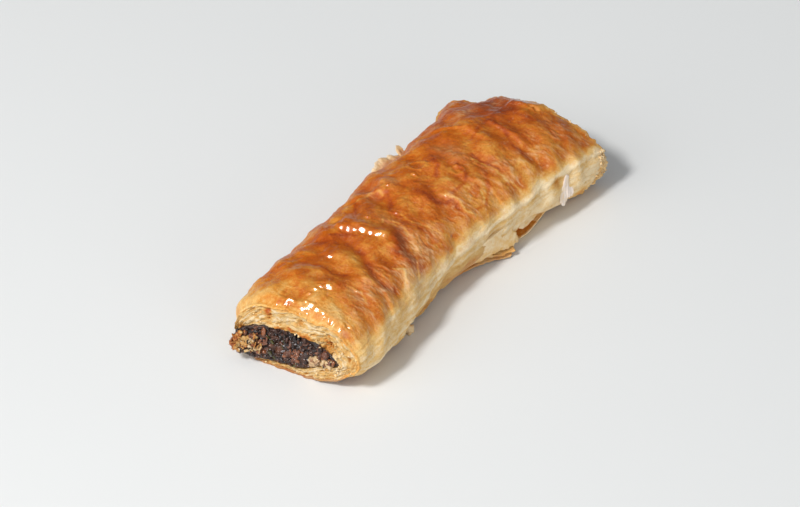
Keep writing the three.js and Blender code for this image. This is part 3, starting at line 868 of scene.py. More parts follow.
def fine_relief(along, around):
    """Lumps as rough noise, crosswise wrinkles on the glazed top, and layer lines along the sides, where
    the top sheet also laps over the layers below by a small step. Returns this, the folds' height and
    the wrinkles."""
    look = bpy.context.scene.pastry_crust
    lumps, wrinkles, lines = look.lumps / MM, look.wrinkles / MM, look.side_lines / MM
    side = shoulder(along, around)
    height = lumps * (1.0 - 0.5 * side) * grain.rough(along / 5.5, around / 5.5, 2.0, 3)
    warp = 2.6 * grain(along / 8, around / 8, 3.7) + 0.8 * grain(along / 2.5, around / 2.5, 5.5)
    patchy = np.clip(0.6 + 0.9 * grain(along / 9, around / 9, 77.0), 0.15, 1.3)
    cross = grain.ridged((along + warp) / 2.2, (around - 0.4 * along) / 7.0, 1.3)
    cross = cross + 0.6 * grain.ridged((along - warp) / 1.2, around / 3.5, 9.4)
    flank = (smooth(5.0, 17.0, np.abs(around)) * 0.8 + 0.2) * smooth(25.0, 17.0, around)
    height += wrinkles * flank * patchy * (1.0 - 0.75 * side) * (cross - 0.65)
    veins = grain.ridged((along + 2 * warp) / 5.0, (around + warp) / 5.0, 6.1)
    height += 0.7 * wrinkles * (1.0 - side) * (veins - 0.5)
    crackle = grain.ridged((along + 0.4 * warp) / 1.4, around / 1.4, 12.0)
    height += 0.45 * wrinkles * (1.0 - 0.5 * side) * smooth(30.0, 18.0, around) * (crackle - 0.5)
    layers = grain.ridged(along / 15.0, (around + 0.5 * warp) / 1.6, 4.2)
    layers = layers + 0.7 * grain.ridged(along / 8.0, (around + 0.3 * warp) / 0.85, 2.9)
    height += lines * side * (layers - 0.75)
    past = past_seam(along, around)
    height += 0.5 * smooth(12, 24, around) * smooth(50, 40, around)
    height += 0.15 * ridge(past + 0.7, 0.8)
    height -= 0.4 * smooth(-0.25, 0.5, past) * smooth(47, 40, around)
    for a, r, radius in RINGS:
        height += 0.45 * ridge(np.hypot(along - a, (around - r) / 1.2) - radius, 0.6)
    height -= EDGE_DROOP * smooth(EDGE_REACH, 0.0, along - NEAR) * (1.0 - 0.6 * side)
    height -= SIDE_POCKET_DEPTH * patches([SIDE_POCKET], along, around)
    folds = np.zeros(height.shape)
    for width, fold, path in FOLDS:
        places = np.array(path)
        offset = along + 0.25 * warp - np.interp(around, places[:, 1], places[:, 0])
        ends = smooth(-1.5, 0.5, around - places[0, 1]) * smooth(1.5, -0.5, around - places[-1, 1])
        folds += fold * ends * ridge(offset, np.where(offset < 0, width, 3.0 * width))
    return height, folds, cross - 0.65


def blistered(height, along, around, slope_along, slope_around):
    """The relief with each blister laid over it: a plane of the two slopes, which make it face
    BLISTERS_FACE, and which fades into the relief at its edge."""
    for a, r, reach in BLISTERS:
        da, dr = along - a, around - r
        share = smooth(1.35, 0.75, np.hypot(da / 0.85, dr / 1.2) / reach)
        middle = large_relief(np.array([a]), np.array([r])) + 0.15 * reach
        middle = middle - EDGE_DROOP * smooth(EDGE_REACH, 0.0, a - NEAR)
        height = height * (1 - share) + (slope_along * da + slope_around * dr + middle) * share
    return height


def facing_slopes(along, shares, x, nx, nz):
    """How much the height over the plain sections changes per step along and per step around where the
    surface faces BLISTERS_FACE: a step that moves a plain place by m, over the normal n, needs the height
    -(face . m) / (face . n). Steps along are from differences of the plain sections."""
    across, down, up = BLISTERS_FACE
    straight = across * nx + up * nz
    step = 0.25
    (x0, z0), (x1, z1) = (plain_rings(along + side * step, shares)[:2] for side in (-1, 1))
    y0, y1 = leaning((along - step)[:, None] + 0 * x0, x0), leaning((along + step)[:, None] + 0 * x1, x1)
    slope_along = -(across * (x1 - x0) + down * (y1 - y0) + up * (z1 - z0)) / (2 * step) / straight
    spread = along[:, None] + 0 * x
    lean = leaning(spread, x + 0.5) - leaning(spread, x - 0.5)
    slope_around = (up * nx - across * nz - down * lean * nz) / straight
    return slope_along, slope_around


def crust_surface(along, shares):
    """The outer surface of the crust: the plain sections moved along their normals by the large and the
    fine relief, which both fade to nothing at the base. Returns the points, normals and marks."""
    x, z, nx, nz, at, girth = plain_rings(along, shares)
    slopes = facing_slopes(along, shares, x, nx, nz)
    along = np.broadcast_to(along[:, None], x.shape)
    around = girth / 2 - at
    fine, folds, cross = fine_relief(along, around)
    fade = smooth(0.0, 5.0, z)
    out = large_relief(along, around) * fade + (fine + folds) * smooth(0.2, 3.0, z)
    out = blistered(out, along, around, *slopes)
    lift = toe_lift(along, x, z)
    points = np.stack([
        x + out * nx,
        leaning(along, x),
        np.maximum(FLOOR_CLEARANCE, z + out * nz + lift),
    ], -1)
    normals = np.stack([nx, np.zeros_like(nx), nz], -1)
    return points, normals, along, around, z, fine, cross


def top_tone(along, around, fine):
    """How browned the top is: noise at three scales, plus creases, patches and lines, less the height of
    the fine relief. The top is paler towards the near cut and browner towards the far one."""
    browned = 0.59 + 0.12 * grain.rough(along / 13, around / 13, 11.0, 2)
    browned += 0.10 * grain.rough(along / 4.5, around / 4.5, 14.0, 3)
    browned += 0.20 * creased(along, around) + patches(BROWNED, along, around)
    browned += 0.05 * grain.rough(along / 1.1, around / 1.1, 15.0, 2)
    sway = 0.5 * grain(along / 2.0, around / 2.0, 16.0)
    for width, amount, path in LINES:
        browned += amount * ridge(distance_to(path, along + sway, around - sway), width)
    browned += 0.07 * smooth(40, 70, along) - 0.12 * smooth(-50, -71, along)
    pale_corner = smooth(-60, -71, along) * smooth(-6, -18, around)
    return browned - 0.10 * np.clip(fine / 0.5, -1, 1) - 0.35 * pale_corner


def side_tone(along, around, past, low_side_shade):
    """How browned the sides are: noise drawn out along the layers, paler towards the far cut, a brown
    line below the top sheet's edge and a pale one on it, plus patches and painted shade on the low side
    below the edge."""
    browned = 0.15 - 0.09 * smooth(-30, 10, along)
    browned += 0.12 * grain.rough(along / 9, around / 1.4, 17.0, 3)
    browned += 0.10 * ridge(past - 1.2, 1.0) - 0.14 * ridge(past + 0.6, 0.9)
    return browned + patches(SIDE_BROWNED, along, around) + 0.16 * low_side_shade


def browning(along, around, z, fine, cross):
    """How browned, lifted, glazed and shaded the crust is. The top's tone gives way to the sides' over
    the shoulder, to streaks of bare layers at the cuts and to a dry tan at the base. Thin skin lifts off
    in patches and along the crosswise wrinkles, where the pale streaks on the flanks are partly painted
    sheen of the glaze, and the glaze lies on the top alone. The shade is painted shade: it darkens the
    base and the low side below the top sheet's edge, and the pocket behind the lip is browned as painted
    shade."""
    side = shoulder(along, around)
    past = past_seam(along, around)
    # Painted shade on the low right side below the top sheet's edge, over the near half of the roll.
    low_side_shade = smooth(1.0, 5.0, past) * smooth(-50, -36, along) * smooth(32, 14, along)
    from_cut = np.minimum(along - NEAR, FAR - along)
    from_cut = from_cut + 0.8 * grain.rough(around / 1.6, along / 1.6, 27.0, 2)
    inner = smooth(-0.2, 1.9, from_cut)
    under = smooth(4.0, 0.3, z)
    browned = top_tone(along, around, fine) * (1 - side) + side_tone(along, around, past, low_side_shade) * side
    edge_lines = 0.16 * grain.ridged(along / 0.55, around / 9.0, 29.0)
    browned = browned * inner + (0.24 + edge_lines) * (1 - inner)
    # The pocket behind the lip is browned as painted shade in the recess.
    browned += 0.42 * patches([SIDE_POCKET], along, around)
    tan = 0.48 + 0.14 * grain.rough(along / 4, around / 4, 19.0, 3)
    browned = browned * (1 - under) + tan * under
    lifted = patches(LIFTED, along, around) * (0.5 + 0.8 * np.clip(cross + 0.3, -0.3, 0.8))
    # Pale streaks along the crosswise wrinkles on both flanks: partly lifted skin, partly painted sheen of
    # the glaze.
    streaks = smooth(6, 18, around) * smooth(36, 25, around) + 0.5 * smooth(-14, -26, around)
    lifted = np.clip(lifted + 0.75 * streaks * np.clip(cross + 0.1, 0, 1), 0, 1)
    lifted = lifted * (1 - under) + 0.8 * under
    glazed = (1 - side) * (1 - under) * smooth(-0.2, 1.0, from_cut)
    glazed *= 1.0 - 0.7 * smooth(-2, -15, around)
    glazed *= 0.85 + 0.3 * grain.rough(along / 5, around / 5, 23.0, 2)
    glazed *= 1 - patches(DULL, along, around)
    # Painted shade: the base darkened, and the low side below the top sheet's edge.
    shade = 0.42 * under + 0.14 * low_side_shade
    return np.clip(browned, 0, 1), lifted, np.clip(glazed, 0, 1), shade


def inner_wall(along, shares, points, normals):
    """The skin's inner wall, from the far cut to the near one: the outer surface moved inwards at the
    cuts, and the plain sections moved further inwards between them. Returns also the outer row that
    each of its rows belongs to."""
    wanted = np.linspace(FAR, NEAR, INNER_ROWS)
    index = np.abs(wanted[:, None] - along[None, :]).argmin(1)
    x, z, _, _, _, _ = plain_rings(along[index], shares)
    plain = np.stack([x, leaning(along[index][:, None], x), z], -1)
    settled = smooth(0, 5, np.minimum(along[index] - NEAR, FAR - along[index]))[:, None]
    inset = SKIN_THICKNESS + (INNER_INSET - SKIN_THICKNESS) * settled * smooth(0, 6, z)
    settled = settled[..., None]
    wall = points[index] * (1 - settled) + plain * settled - inset[..., None] * normals[index]
    wall[..., 2] = np.maximum(wall[..., 2], 2 * FLOOR_CLEARANCE)
    return wall, index


def lip(row, wall, outward):
    """Rows that turn over a cut from the outer surface to the inner wall, as half circles that are
    pressed flat."""
    turns = np.linspace(0, math.pi, LIP_ROWS + 2)[1:-1, None, None]
    middle = (row + wall) / 2
    bent = middle + (row - middle) * np.cos(turns)
    bent[..., 1] += outward * 0.3 * SKIN_THICKNESS * np.sin(turns[..., 0])
    return bent


class PASTRY_OT_crust(bpy.types.Operator):
    """Make the glazed crust: a closed skin whose outer surface rolls over the cuts to an inner wall"""

    bl_idname = "pastry.crust"
    bl_label = "Crust"

    def execute(self, context):
        cell = context.scene.pastry_crust.cell / MM
        rows = int((FAR - NEAR) / cell) + 1
        columns = int(GIRTH / cell)
        shares = column_shares(columns)
        stations = np.linspace(NEAR, FAR, rows)
        points, normals, along, around, z, fine, cross = crust_surface(stations, shares)
        marks = browning(along, around, z, fine, cross)
        for cut, outward, ragged in ((NEAR, -1.0, RAGGED_NEAR), (FAR, 1.0, RAGGED_FAR)):
            torn = ragged * (0.4 + grain.rough(around / 2.6, cut, 31.0, 3))
            points[..., 1] += outward * smooth(RAGGED_REACH, 0.0, np.abs(along - cut)) * torn
        wall, index = inner_wall(stations, shares, points, normals)
        far_lip, near_lip = lip(points[-1], wall[0], 1.0), lip(wall[-1], points[0], -1.0)
        stack = np.concatenate([points, far_lip, wall, near_lip])
        lip_rows = np.zeros(LIP_ROWS, int)
        take = np.concatenate([np.arange(rows), lip_rows + rows - 1, index, lip_rows])
        faces = grid_faces(len(stack), columns, True, True)
        corners = self.spread(along[take], around[take])
        held = {name: values[take] for name, values in zip(("browned", "lifted", "glazed", "painted_shade"), marks)}
        make_piece("crust_skin", stack.reshape(-1, 3), [faces], crust_finish(), "crust", held,
                   [corners])
        return {"FINISHED"}

    def spread(self, along, around):
        """The corners' places on the spread surface, in metres, with the last row and column of cells
        carried on to where the first ones start."""
        rows, columns = along.shape
        u = np.concatenate([along[:, :1], along[:1, :1]])
        v = np.concatenate([around, -around[:, :1]], 1)
        v = np.concatenate([v, v[:1]])
        grid = np.stack([np.broadcast_to(u, (rows + 1, columns + 1)), v], -1) * MM
        corners = np.stack([grid[:-1, :-1], grid[:-1, 1:], grid[1:, 1:], grid[1:, :-1]], 2)
        return corners.reshape(-1, 4, 2)


# ---- The rims ----

RIM_COLUMNS = 560
RIM_ROWS = 44
RIM_BACK = (1.0, 3.0, 6.0)  # how far behind the cut the collar's other rings are
POCKET_X, POCKET_Z, POCKET_REACH, POCKET_DEPTH = 13.0, 16.0, 4.2, 2.6
RIM_SWELLS = [(-21.5, 16.0, 5.0, 1.6), (-4.0, 24.5, 6.0, 0.5)]  # at the near cut: x, z, reach, height
# Toasted streaks on the near rim: x, z, reaches and amount.
RIM_MARKS = [
    (-9.9, 23.2, 1.3, 2.6, 0.5),
    (-5.5, 17.4, 1.8, 0.9, 0.30),
    (-0.8, 18.6, 2.4, 0.9, 0.34),
    (4.8, 17.4, 2.4, 0.9, 0.34),
    (-19.5, 13.2, 2.0, 0.9, 0.25),
]


def closed_curve(points, steps):
    """A smooth closed curve through points: on each stretch the cubic whose end slopes are half the
    difference of the neighbouring points."""
    before, after, beyond = np.roll(points, 1, 0), np.roll(points, -1, 0), np.roll(points, -2, 0)
    t = (np.arange(steps) / steps)[None, :, None]
    start_slope, end_slope = (after - before)[:, None] / 2, (beyond - points)[:, None] / 2
    curve = bend(t, points[:, None], after[:, None], start_slope, end_slope)
    return curve.reshape(-1, points.shape[1])


def bore_ring(along, shares, inset=0.0):
    """The bore's outline at places along the roll, or one that much inside it. It grows with the crust:
    wider by the crust's width, moved with its middle and higher with its crest."""
    outline = closed_curve(BORE, BORE_STEPS)
    x, z, nx, nz, _, _ = even_rings(outline[None, :, 0], outline[None, :, 1], shares)
    left, right, crest = (at_station(along, column)[:, None] for column in (1, 2, 3))
    left0, right0, crest0 = STATIONS[0, 1:]
    widen = (right - left) / (right0 - left0)
    shift = (right + left - right0 - left0) / 2
    here = (x - inset * nx) * widen + shift
    along = np.broadcast_to(along[:, None], here.shape)
    return np.stack([here, leaning(along, here), (z - inset * nz) * crest / crest0], -1)


class PASTRY_OT_rims(bpy.types.Operator):
    """Make the rims of both cuts: the torn ends of the pastry's layers between the skin and the bore"""

    bl_idname = "pastry.rims"
    bl_label = "Cut rims"

    def execute(self, context):
        for name, cut, outward in (("rim_near", NEAR, -1.0), ("rim_far", FAR, 1.0)):
            self.rim(context.scene.pastry_rim, name, cut, outward)
        return {"FINISHED"}

    def rim(self, size, name, cut, outward):
        """A closed collar. Its front runs from the skin to the bore as straight lines, moved in and out
        by streaky noise that follows the layers, by crumbs and by holes."""
        shares = np.arange(RIM_COLUMNS) / RIM_COLUMNS
        places = np.array([cut])
        edge, normals, _, around, _, _, _ = crust_surface(places, shares)
        edge = edge[0] - 0.45 * SKIN_THICKNESS * normals[0]
        mouth = bore_ring(places, shares, -0.1)[0]
        around = around[0]
        share = np.linspace(0.0, 1.0, RIM_ROWS)[:, None]
        front = edge[None] * (1 - share[..., None]) + mouth[None] * share[..., None]
        front_x, front_z = front[..., 0], front[..., 2]
        thick = np.hypot(*(edge - mouth)[:, [0, 2]].T)
        deep = share * thick
        count = 3.0 + 0.75 * thick / (size.layer / MM)
        ring = around[None, :] + 0 * share
        warp = 0.55 * grain.rough(ring / 9, deep / 5, 40.0 + cut, 2)
        across = share * count + warp
        streaks = grain.ridged(ring / 8.0, across, 43.0 + cut)
        streaks = 0.8 * streaks + 0.4 * grain.ridged(ring / 4.0, across * 2.1, 47.0 + cut)
        crumbs = grain.rough(front_x / 1.5, front_z / 1.5, 51.0 + cut, 3)
        holes = smooth(0.28, 0.62, grain.rough(ring / 4.5, deep / 2.4, 57.0 + cut, 2))
        holes *= smooth(0.5, 2.5, np.minimum(deep, thick - deep))
        ragged, hole = size.ragged / MM, size.holes / MM
        soft = grain.rough(ring / 3.5, deep / 2.0, 49.0 + cut, 2)
        out = ragged * (streaks - 0.6) + 0.3 * crumbs + 0.6 * soft - hole * holes
        if outward < 0:
            for x, z, reach, swell in RIM_SWELLS:
                out += swell * hump(front_x - x, front_z - z, reach, reach)
            pocket = hump(front_x - POCKET_X, front_z - POCKET_Z, POCKET_REACH, POCKET_REACH)
            out -= POCKET_DEPTH * pocket * (0.6 + 0.6 * grain.ridged(ring / 2.5, deep / 1.3, 61.0))
        slack = smooth(0.0, 0.8, thick[None, :] / 4)
        out *= 0.35 + 0.65 * slack
        front[..., 1] += outward * (out - 0.15)
        side_push = 0.25 * grain.rough(front_x / 1.1, front_z / 1.1, 66.0 + cut, 2)
        front_z += side_push * smooth(0.0, 0.2, share) * smooth(1.0, 0.8, share) * slack
        np.maximum(front_z, 2 * FLOOR_CLEARANCE, out=front_z)

        back_steps = np.array(RIM_BACK)[:, None]
        walls = []
        for ring_points, steps in ((mouth, back_steps), (edge, back_steps[::-1])):
            wall = np.broadcast_to(ring_points, (len(steps), *ring_points.shape)).copy()
            wall[..., 1] -= outward * steps
            walls.append(wall)
        stack = np.concatenate([front, *walls])
        faces = grid_faces(len(stack), RIM_COLUMNS, True, True)

        toast_and_painted_shade = 0.17 + 0.20 * grain.rough(ring / 5, across, 71.0 + cut, 3) - 0.10 * (streaks - 0.7)
        toast_and_painted_shade += 0.12 * grain.rough(front_x / 5, front_z / 5, 73.0 + cut, 2)
        # The holes are browned as painted shade; the skin's edge and the thin places are toasted.
        toast_and_painted_shade += 0.15 * holes + 0.10 * smooth(1.2, 0.0, deep) + 0.12 * smooth(3.5, 0.5, thick)[None, :]
        if outward < 0:
            for x, z, reach_across, reach_up, amount in RIM_MARKS:
                toast_and_painted_shade += amount * hump(front_x - x, front_z - z, reach_across, reach_up)
            # The pocket is browned as painted shade in its hollow.
            toast_and_painted_shade += 0.12 * pocket
        toast_and_painted_shade = np.concatenate([toast_and_painted_shade, np.full((2 * len(RIM_BACK), RIM_COLUMNS), 0.35)])
        held = {"browned": np.clip(toast_and_painted_shade, 0, 1), "lifted": np.zeros_like(toast_and_painted_shade)}
        finish = dough_finish("cut layers", 0.16, 0.26)
        make_piece(name, stack.reshape(-1, 3), [faces], finish, "crust", held)


# ---- The filling ----

FILLING_COLUMNS = 360
FACE_ROWS = 52
RUN_ROWS = 12
FILLING_GAP = 0.25
FILLING_BACK = 0.8  # from the cut to the plug's end
LUMP_HEIGHT = 1.5
LUMP_SIZE, SMALL_LUMP_SIZE = 3.0, 1.3
EDGE_ROWS = 6  # over which the lumps grow from the face's edge


def bulge_of(x, z):
    """How much the near end swells out at a place of it, from 0 to 1."""
    return hump(x - BULGE_X, z - BULGE_Z, BULGE_REACH, BULGE_REACH)


def lumpy(points, height):
    """How far minced lumps stand out of a face at its points, high in the middle of each cell and low
    between two, and the number that each lump holds."""
    first, second, held = cells(*np.moveaxis(points, -1, 0), LUMP_SIZE, 7)
    fine_first, _, _ = cells(*np.moveaxis(points, -1, 0), SMALL_LUMP_SIZE, 9)
    out = height * (np.clip(second - first, 0, 0.6) / 0.6 * 0.9 + 0.5 * (held - 0.5))
    return out + 0.35 * height * (0.6 - fine_first), held


def face_of_filling(ring, outward):
    """A cut face, from the ring at the plug's end to its middle, as shares of the way to the middle. Lumps
    stand out of it, less so in its first rows, and the near one bulges out and aside. Returns the points
    and the number that each lump holds."""
    middle = ring.mean(0)
    share = np.linspace(1.0, 0.0, FACE_ROWS + 1)[1:-1, None, None]
    points = middle + (ring[None] - middle) * share
    points = np.concatenate([points, np.broadcast_to(middle, (1, len(ring), 3))])
    lumps, held = lumpy(points, LUMP_HEIGHT)
    swell = bulge_of(points[..., 0], points[..., 2]) if outward < 0 else 0.0
    grown = np.minimum(np.arange(FACE_ROWS), EDGE_ROWS)[:, None] / EDGE_ROWS
    points[..., 1] += outward * ((lumps - 0.2) * (0.3 + 0.7 * grown) + BULGE_OUT * swell)
    points[..., 0] -= BULGE_ASIDE * swell**2
    return points, held


class PASTRY_OT_filling(bpy.types.Operator):
    """Make the filling's core, a plug through the roll with lumpy cut faces"""

    bl_idname = "pastry.filling"
    bl_label = "Filling"

    def execute(self, context):
        look = context.scene.pastry_filling
        shares = np.arange(FILLING_COLUMNS) / FILLING_COLUMNS
        along = np.linspace(NEAR + FILLING_BACK, FAR - FILLING_BACK, RUN_ROWS)
        run = bore_ring(along, shares, FILLING_GAP)
        near, near_held = face_of_filling(run[0], -1.0)
        far, far_held = face_of_filling(run[-1], 1.0)
        swell = bulge_of(run[0, :, 0], run[0, :, 2])
        run[0, :, 1] -= BULGE_OUT * swell
        run[0, :, 0] -= BULGE_ASIDE * swell**2
        stack = np.concatenate([near[::-1], run, far])
        stack[..., 2] = np.maximum(stack[..., 2], 4 * FLOOR_CLEARANCE)
        held = np.concatenate([near_held[::-1], np.full(run.shape[:2], 0.5), far_held])

        # The two poles are one point each, and the rings next to them close on it.
        inside = stack[1:-1].reshape(-1, 3)
        points = np.concatenate([inside, stack[:1, 0], stack[-1:, 0]])
        values = np.concatenate([held[1:-1].ravel(), held[0, :1], held[-1, :1]])
        rows = len(stack) - 2
        faces = grid_faces(rows, FILLING_COLUMNS, False, True)
        c = np.arange(FILLING_COLUMNS)
        next_c = (c + 1) % FILLING_COLUMNS
        last = (rows - 1) * FILLING_COLUMNS
        start = np.stack([np.full_like(c, len(inside)), next_c, c], -1)
        end = np.stack([np.full_like(c, len(inside) + 1), last + c, last + next_c], -1)
        finish = mince_finish("dark mince", look.meat, look.meat_light, 0.5)
        make_piece("filling_core", points, [faces, start, end], finish, "filling", {"bit": values})
        return {"FINISHED"}


# ---- Bits and crumbs on the filling ----

BIT_STEPS = 3  # squares along each side of a bit's faces


def bit_shape():
    """The points and faces of a small rounded block: a cube's faces split into a few squares, drawn to a
    sphere. Its corners and edges are shared."""
    steps = np.linspace(-1, 1, BIT_STEPS + 1)
    a, b = np.meshgrid(steps, steps, indexing="ij")
    one = np.ones_like(a)
    sheets = [(a, b, one), (b, a, -one), (one, a, b), (-one, b, a), (b, one, a), (a, -one, b)]
    points = np.concatenate([np.stack(s, -1).reshape(-1, 3) for s in sheets])
    size = (BIT_STEPS + 1) ** 2
    faces = np.concatenate([grid_faces(BIT_STEPS + 1, BIT_STEPS + 1, first=k * size) for k in range(6)])
    _, index, inverse = np.unique(np.round(points * 1000).astype(int), axis=0, return_index=True,
                                  return_inverse=True)
    points = points[index]
    points = points / np.linalg.norm(points, axis=1, keepdims=True)
    return points, inverse.reshape(-1)[faces]


def scattered(draw, centres, sizes, flatness, roughness):
    """One bit at each centre, turned at random, flattened along one of its own axes, and roughened by
    noise. Returns the points, the faces and a number for each bit."""
    shape, faces = bit_shape()
    count = len(centres)
    turns = draw.normal(size=(count, 4))
    turns /= np.linalg.norm(turns, axis=1, keepdims=True)
    w, x, y, z = turns.T
    turn = np.stack([
        1 - 2 * (y * y + z * z), 2 * (x * y - z * w), 2 * (x * z + y * w),
        2 * (x * y + z * w), 1 - 2 * (x * x + z * z), 2 * (y * z - x * w),
        2 * (x * z - y * w), 2 * (y * z + x * w), 1 - 2 * (x * x + y * y),
    ], -1).reshape(-1, 3, 3)
    stretch = np.stack([
        draw.uniform(0.8, 1.35, count),
        draw.uniform(0.65, 1.0, count),
        draw.uniform(flatness, flatness + 0.3, count),
    ], -1)
    bits = shape[None] * stretch[:, None, :] * sizes[:, None, None] / 2
    offset = draw.uniform(0, 50, (count, 1))
    x, y, z = 1.6 * shape.T[:, None, :]
    rough = 1 + roughness * grain(x + offset, y, z)
    bits = np.einsum("nij,nkj->nki", turn, bits * rough[..., None]) + centres[:, None, :]
    bits[..., 2] = np.maximum(bits[..., 2], 3 * FLOOR_CLEARANCE)
    index = np.arange(count)[:, None, None] * len(shape) + faces[None]
    numbers = np.repeat(draw.random(count), len(shape))
    return bits.reshape(-1, 3), index.reshape(-1, 4), numbers


def on_face(draw, count, cut, outward, regions=(), stand=0.05):
    """Seeded places on a cut face of the filling, each some way from its middle to a point of its ring.
    The way is the square root of a random number, which spreads them evenly. They are moved out with the
    bulge. Regions, if given, are humps that say how likely a place is kept."""
    picks = []
    ring = bore_ring(np.array([cut]), np.arange(720) / 720, 0.9)[0]
    middle = ring.mean(0)
    while sum(len(p) for p in picks) < count:
        share = np.sqrt(draw.random(4 * count))[:, None]
        points = middle + (ring[draw.integers(0, 720, 4 * count)] - middle) * share
        if regions:
            x, z = points[:, 0], points[:, 2]
            chance = sum(hump(x - at_x, z - at_z, wide, high) for at_x, at_z, wide, high in regions)
            points = points[draw.random(len(points)) < chance]
        picks.append(points)
    points = np.concatenate(picks)[:count]
    swell = bulge_of(points[:, 0], points[:, 2]) if outward < 0 else 0.0
    points[:, 1] += outward * (BULGE_OUT * swell - FILLING_BACK + stand + draw.uniform(-0.4, 0.6, count))
    points[:, 0] -= BULGE_ASIDE * swell**2
    return points


def joined(sets):
    """Sets of points, faces and values, put together end to end."""
    points, faces, values = zip(*sets)
    starts = np.cumsum([0] + [len(part) for part in points[:-1]])
    faces = [part + start for part, start in zip(faces, starts)]
    return np.concatenate(points), np.concatenate(faces), np.concatenate(values)


# Name, finish, colour, second colour, coat, share of the count, sizes, flatness, roughness, how far they
# stand out, then the regions of the cut face, if they don't lie all over it: x, z and reaches.
KINDS = [
    ("mince_dark", "dark mince", "meat", "meat_light", 1.0, 1.0, (0.25, 0.95), 0.4, 0.5, 0.05, []),
    ("mince_brown", "brown mince", "meat_light", "red", 1.0, 0.3, (0.3, 0.8), 0.4, 0.5, 0.05,
     [(12.2, 9.9, 5, 3), (1.1, 7.9, 4, 3), (-12.8, 9.8, 4, 4), (-21.5, 4, 4, 4)]),
    ("mince_red", "red-brown bits", "red", "meat_light", 1.0, 0.30, (0.35, 0.9), 0.4, 0.4, 0.05,
     [(12.2, 9.9, 4, 3), (1.1, 7.9, 4, 3), (-14.5, 9, 3, 4), (-22.5, 5, 4, 4)]),
    ("herb_bits", "herb bits", "green", "meat", 0.8, 0.04, (0.5, 1.0), 0.15, 0.5, 0.15,
     [(-7.8, 10.6, 3, 3), (-4, 3, 3, 2)]),
    ("onion_bits", "onion bits", "onion", "red", 1.0, 0.18, (0.35, 1.15), 0.4, 0.6, 0.1,
     [(13.4, 7.0, 3.0, 1.4), (10.6, 5.6, 3.2, 1.4), (8.0, 7.6, 1.6, 1.6)]),
    # The last kind are pale specks as painted glints of the wet filling.
    ("glint_specks", "glint specks", "glint_tone", "glint_tone", 1.0, 0.8, (0.08, 0.20), 0.5, 0.2, 0.3, [(-2, 9, 13, 5)]),
]
# The clump of pastry crumbs: its regions in the same way, then how many lie at the near and far cuts.
CLUMP = [(-14.8, 9.4, 2.6, 2.0), (-18.6, 10.0, 2.0, 2.0), (-20.5, 6.8, 1.6, 1.6)]
CLUMP_NEAR, CLUMP_FAR = 170, 40


class PASTRY_OT_mince(bpy.types.Operator):
    """Scatter the minced bits, herbs, onion and pastry crumbs over the cut faces of the filling"""

    bl_idname = "pastry.mince"
    bl_label = "Minced bits"

    def execute(self, context):
        look = context.scene.pastry_filling
        count, size = look.count, look.bit / MM
        for number, row in enumerate(KINDS):
            name, finish_name, colour, second, coat, share, sizes, flat, rough, stand, regions = row
            draw = np.random.default_rng(100 + number)
            finish = mince_finish(finish_name, getattr(look, colour), getattr(look, second), coat)
            sets = []
            number_here = int(count * share)
            for cut, outward in ((NEAR, -1.0), (FAR, 1.0)):
                centres = on_face(draw, number_here, cut, outward, regions, stand)
                widths = size * draw.uniform(*sizes, number_here)
                sets.append(scattered(draw, centres, widths, flat, rough))
            points, faces, numbers = joined(sets)
            make_piece(name, points, [faces], finish, "filling", {"bit": numbers})
        self.clump(np.random.default_rng(131))
        return {"FINISHED"}

    def clump(self, draw):
        """The pastry crumbs on the filling, browner to the left."""
        sets = []
        for cut, outward, number_here in ((NEAR, -1.0, CLUMP_NEAR), (FAR, 1.0, CLUMP_FAR)):
            centres = on_face(draw, number_here, cut, outward, CLUMP, 1.0)
            widths = 0.5 + 2.1 * draw.random(number_here) ** 2
            sets.append(scattered(draw, centres, widths, 0.15, 0.9))
        points, faces, numbers = joined(sets)
        browned = 0.14 + 0.6 * (numbers - 0.4) + 0.6 * smooth(-17, -21, points[:, 0])
        held = {"browned": np.clip(browned, 0, 1), "lifted": np.full_like(numbers, 0.3)}
        finish = dough_finish("clump", 0.3, 0.28)
        make_piece("crumbs_on_filling", points, [faces], finish, "filling", held)


# ---- Leaves and crumbs ----

LEAF_ROWS = 90
LEAF_COLUMNS = 22


def through(points, t):
    """Places on a smooth open curve through three or more points, which is the one curve of the lowest
    power that passes through all of them at even steps of t from 0 to 1."""
    points = np.asarray(points, float)
    power = len(points) - 1
    fits = [np.polyfit(np.linspace(0, 1, len(points)), values, power) for values in points.T]
    return np.stack([np.polyval(fit, t) for fit in fits], -1)


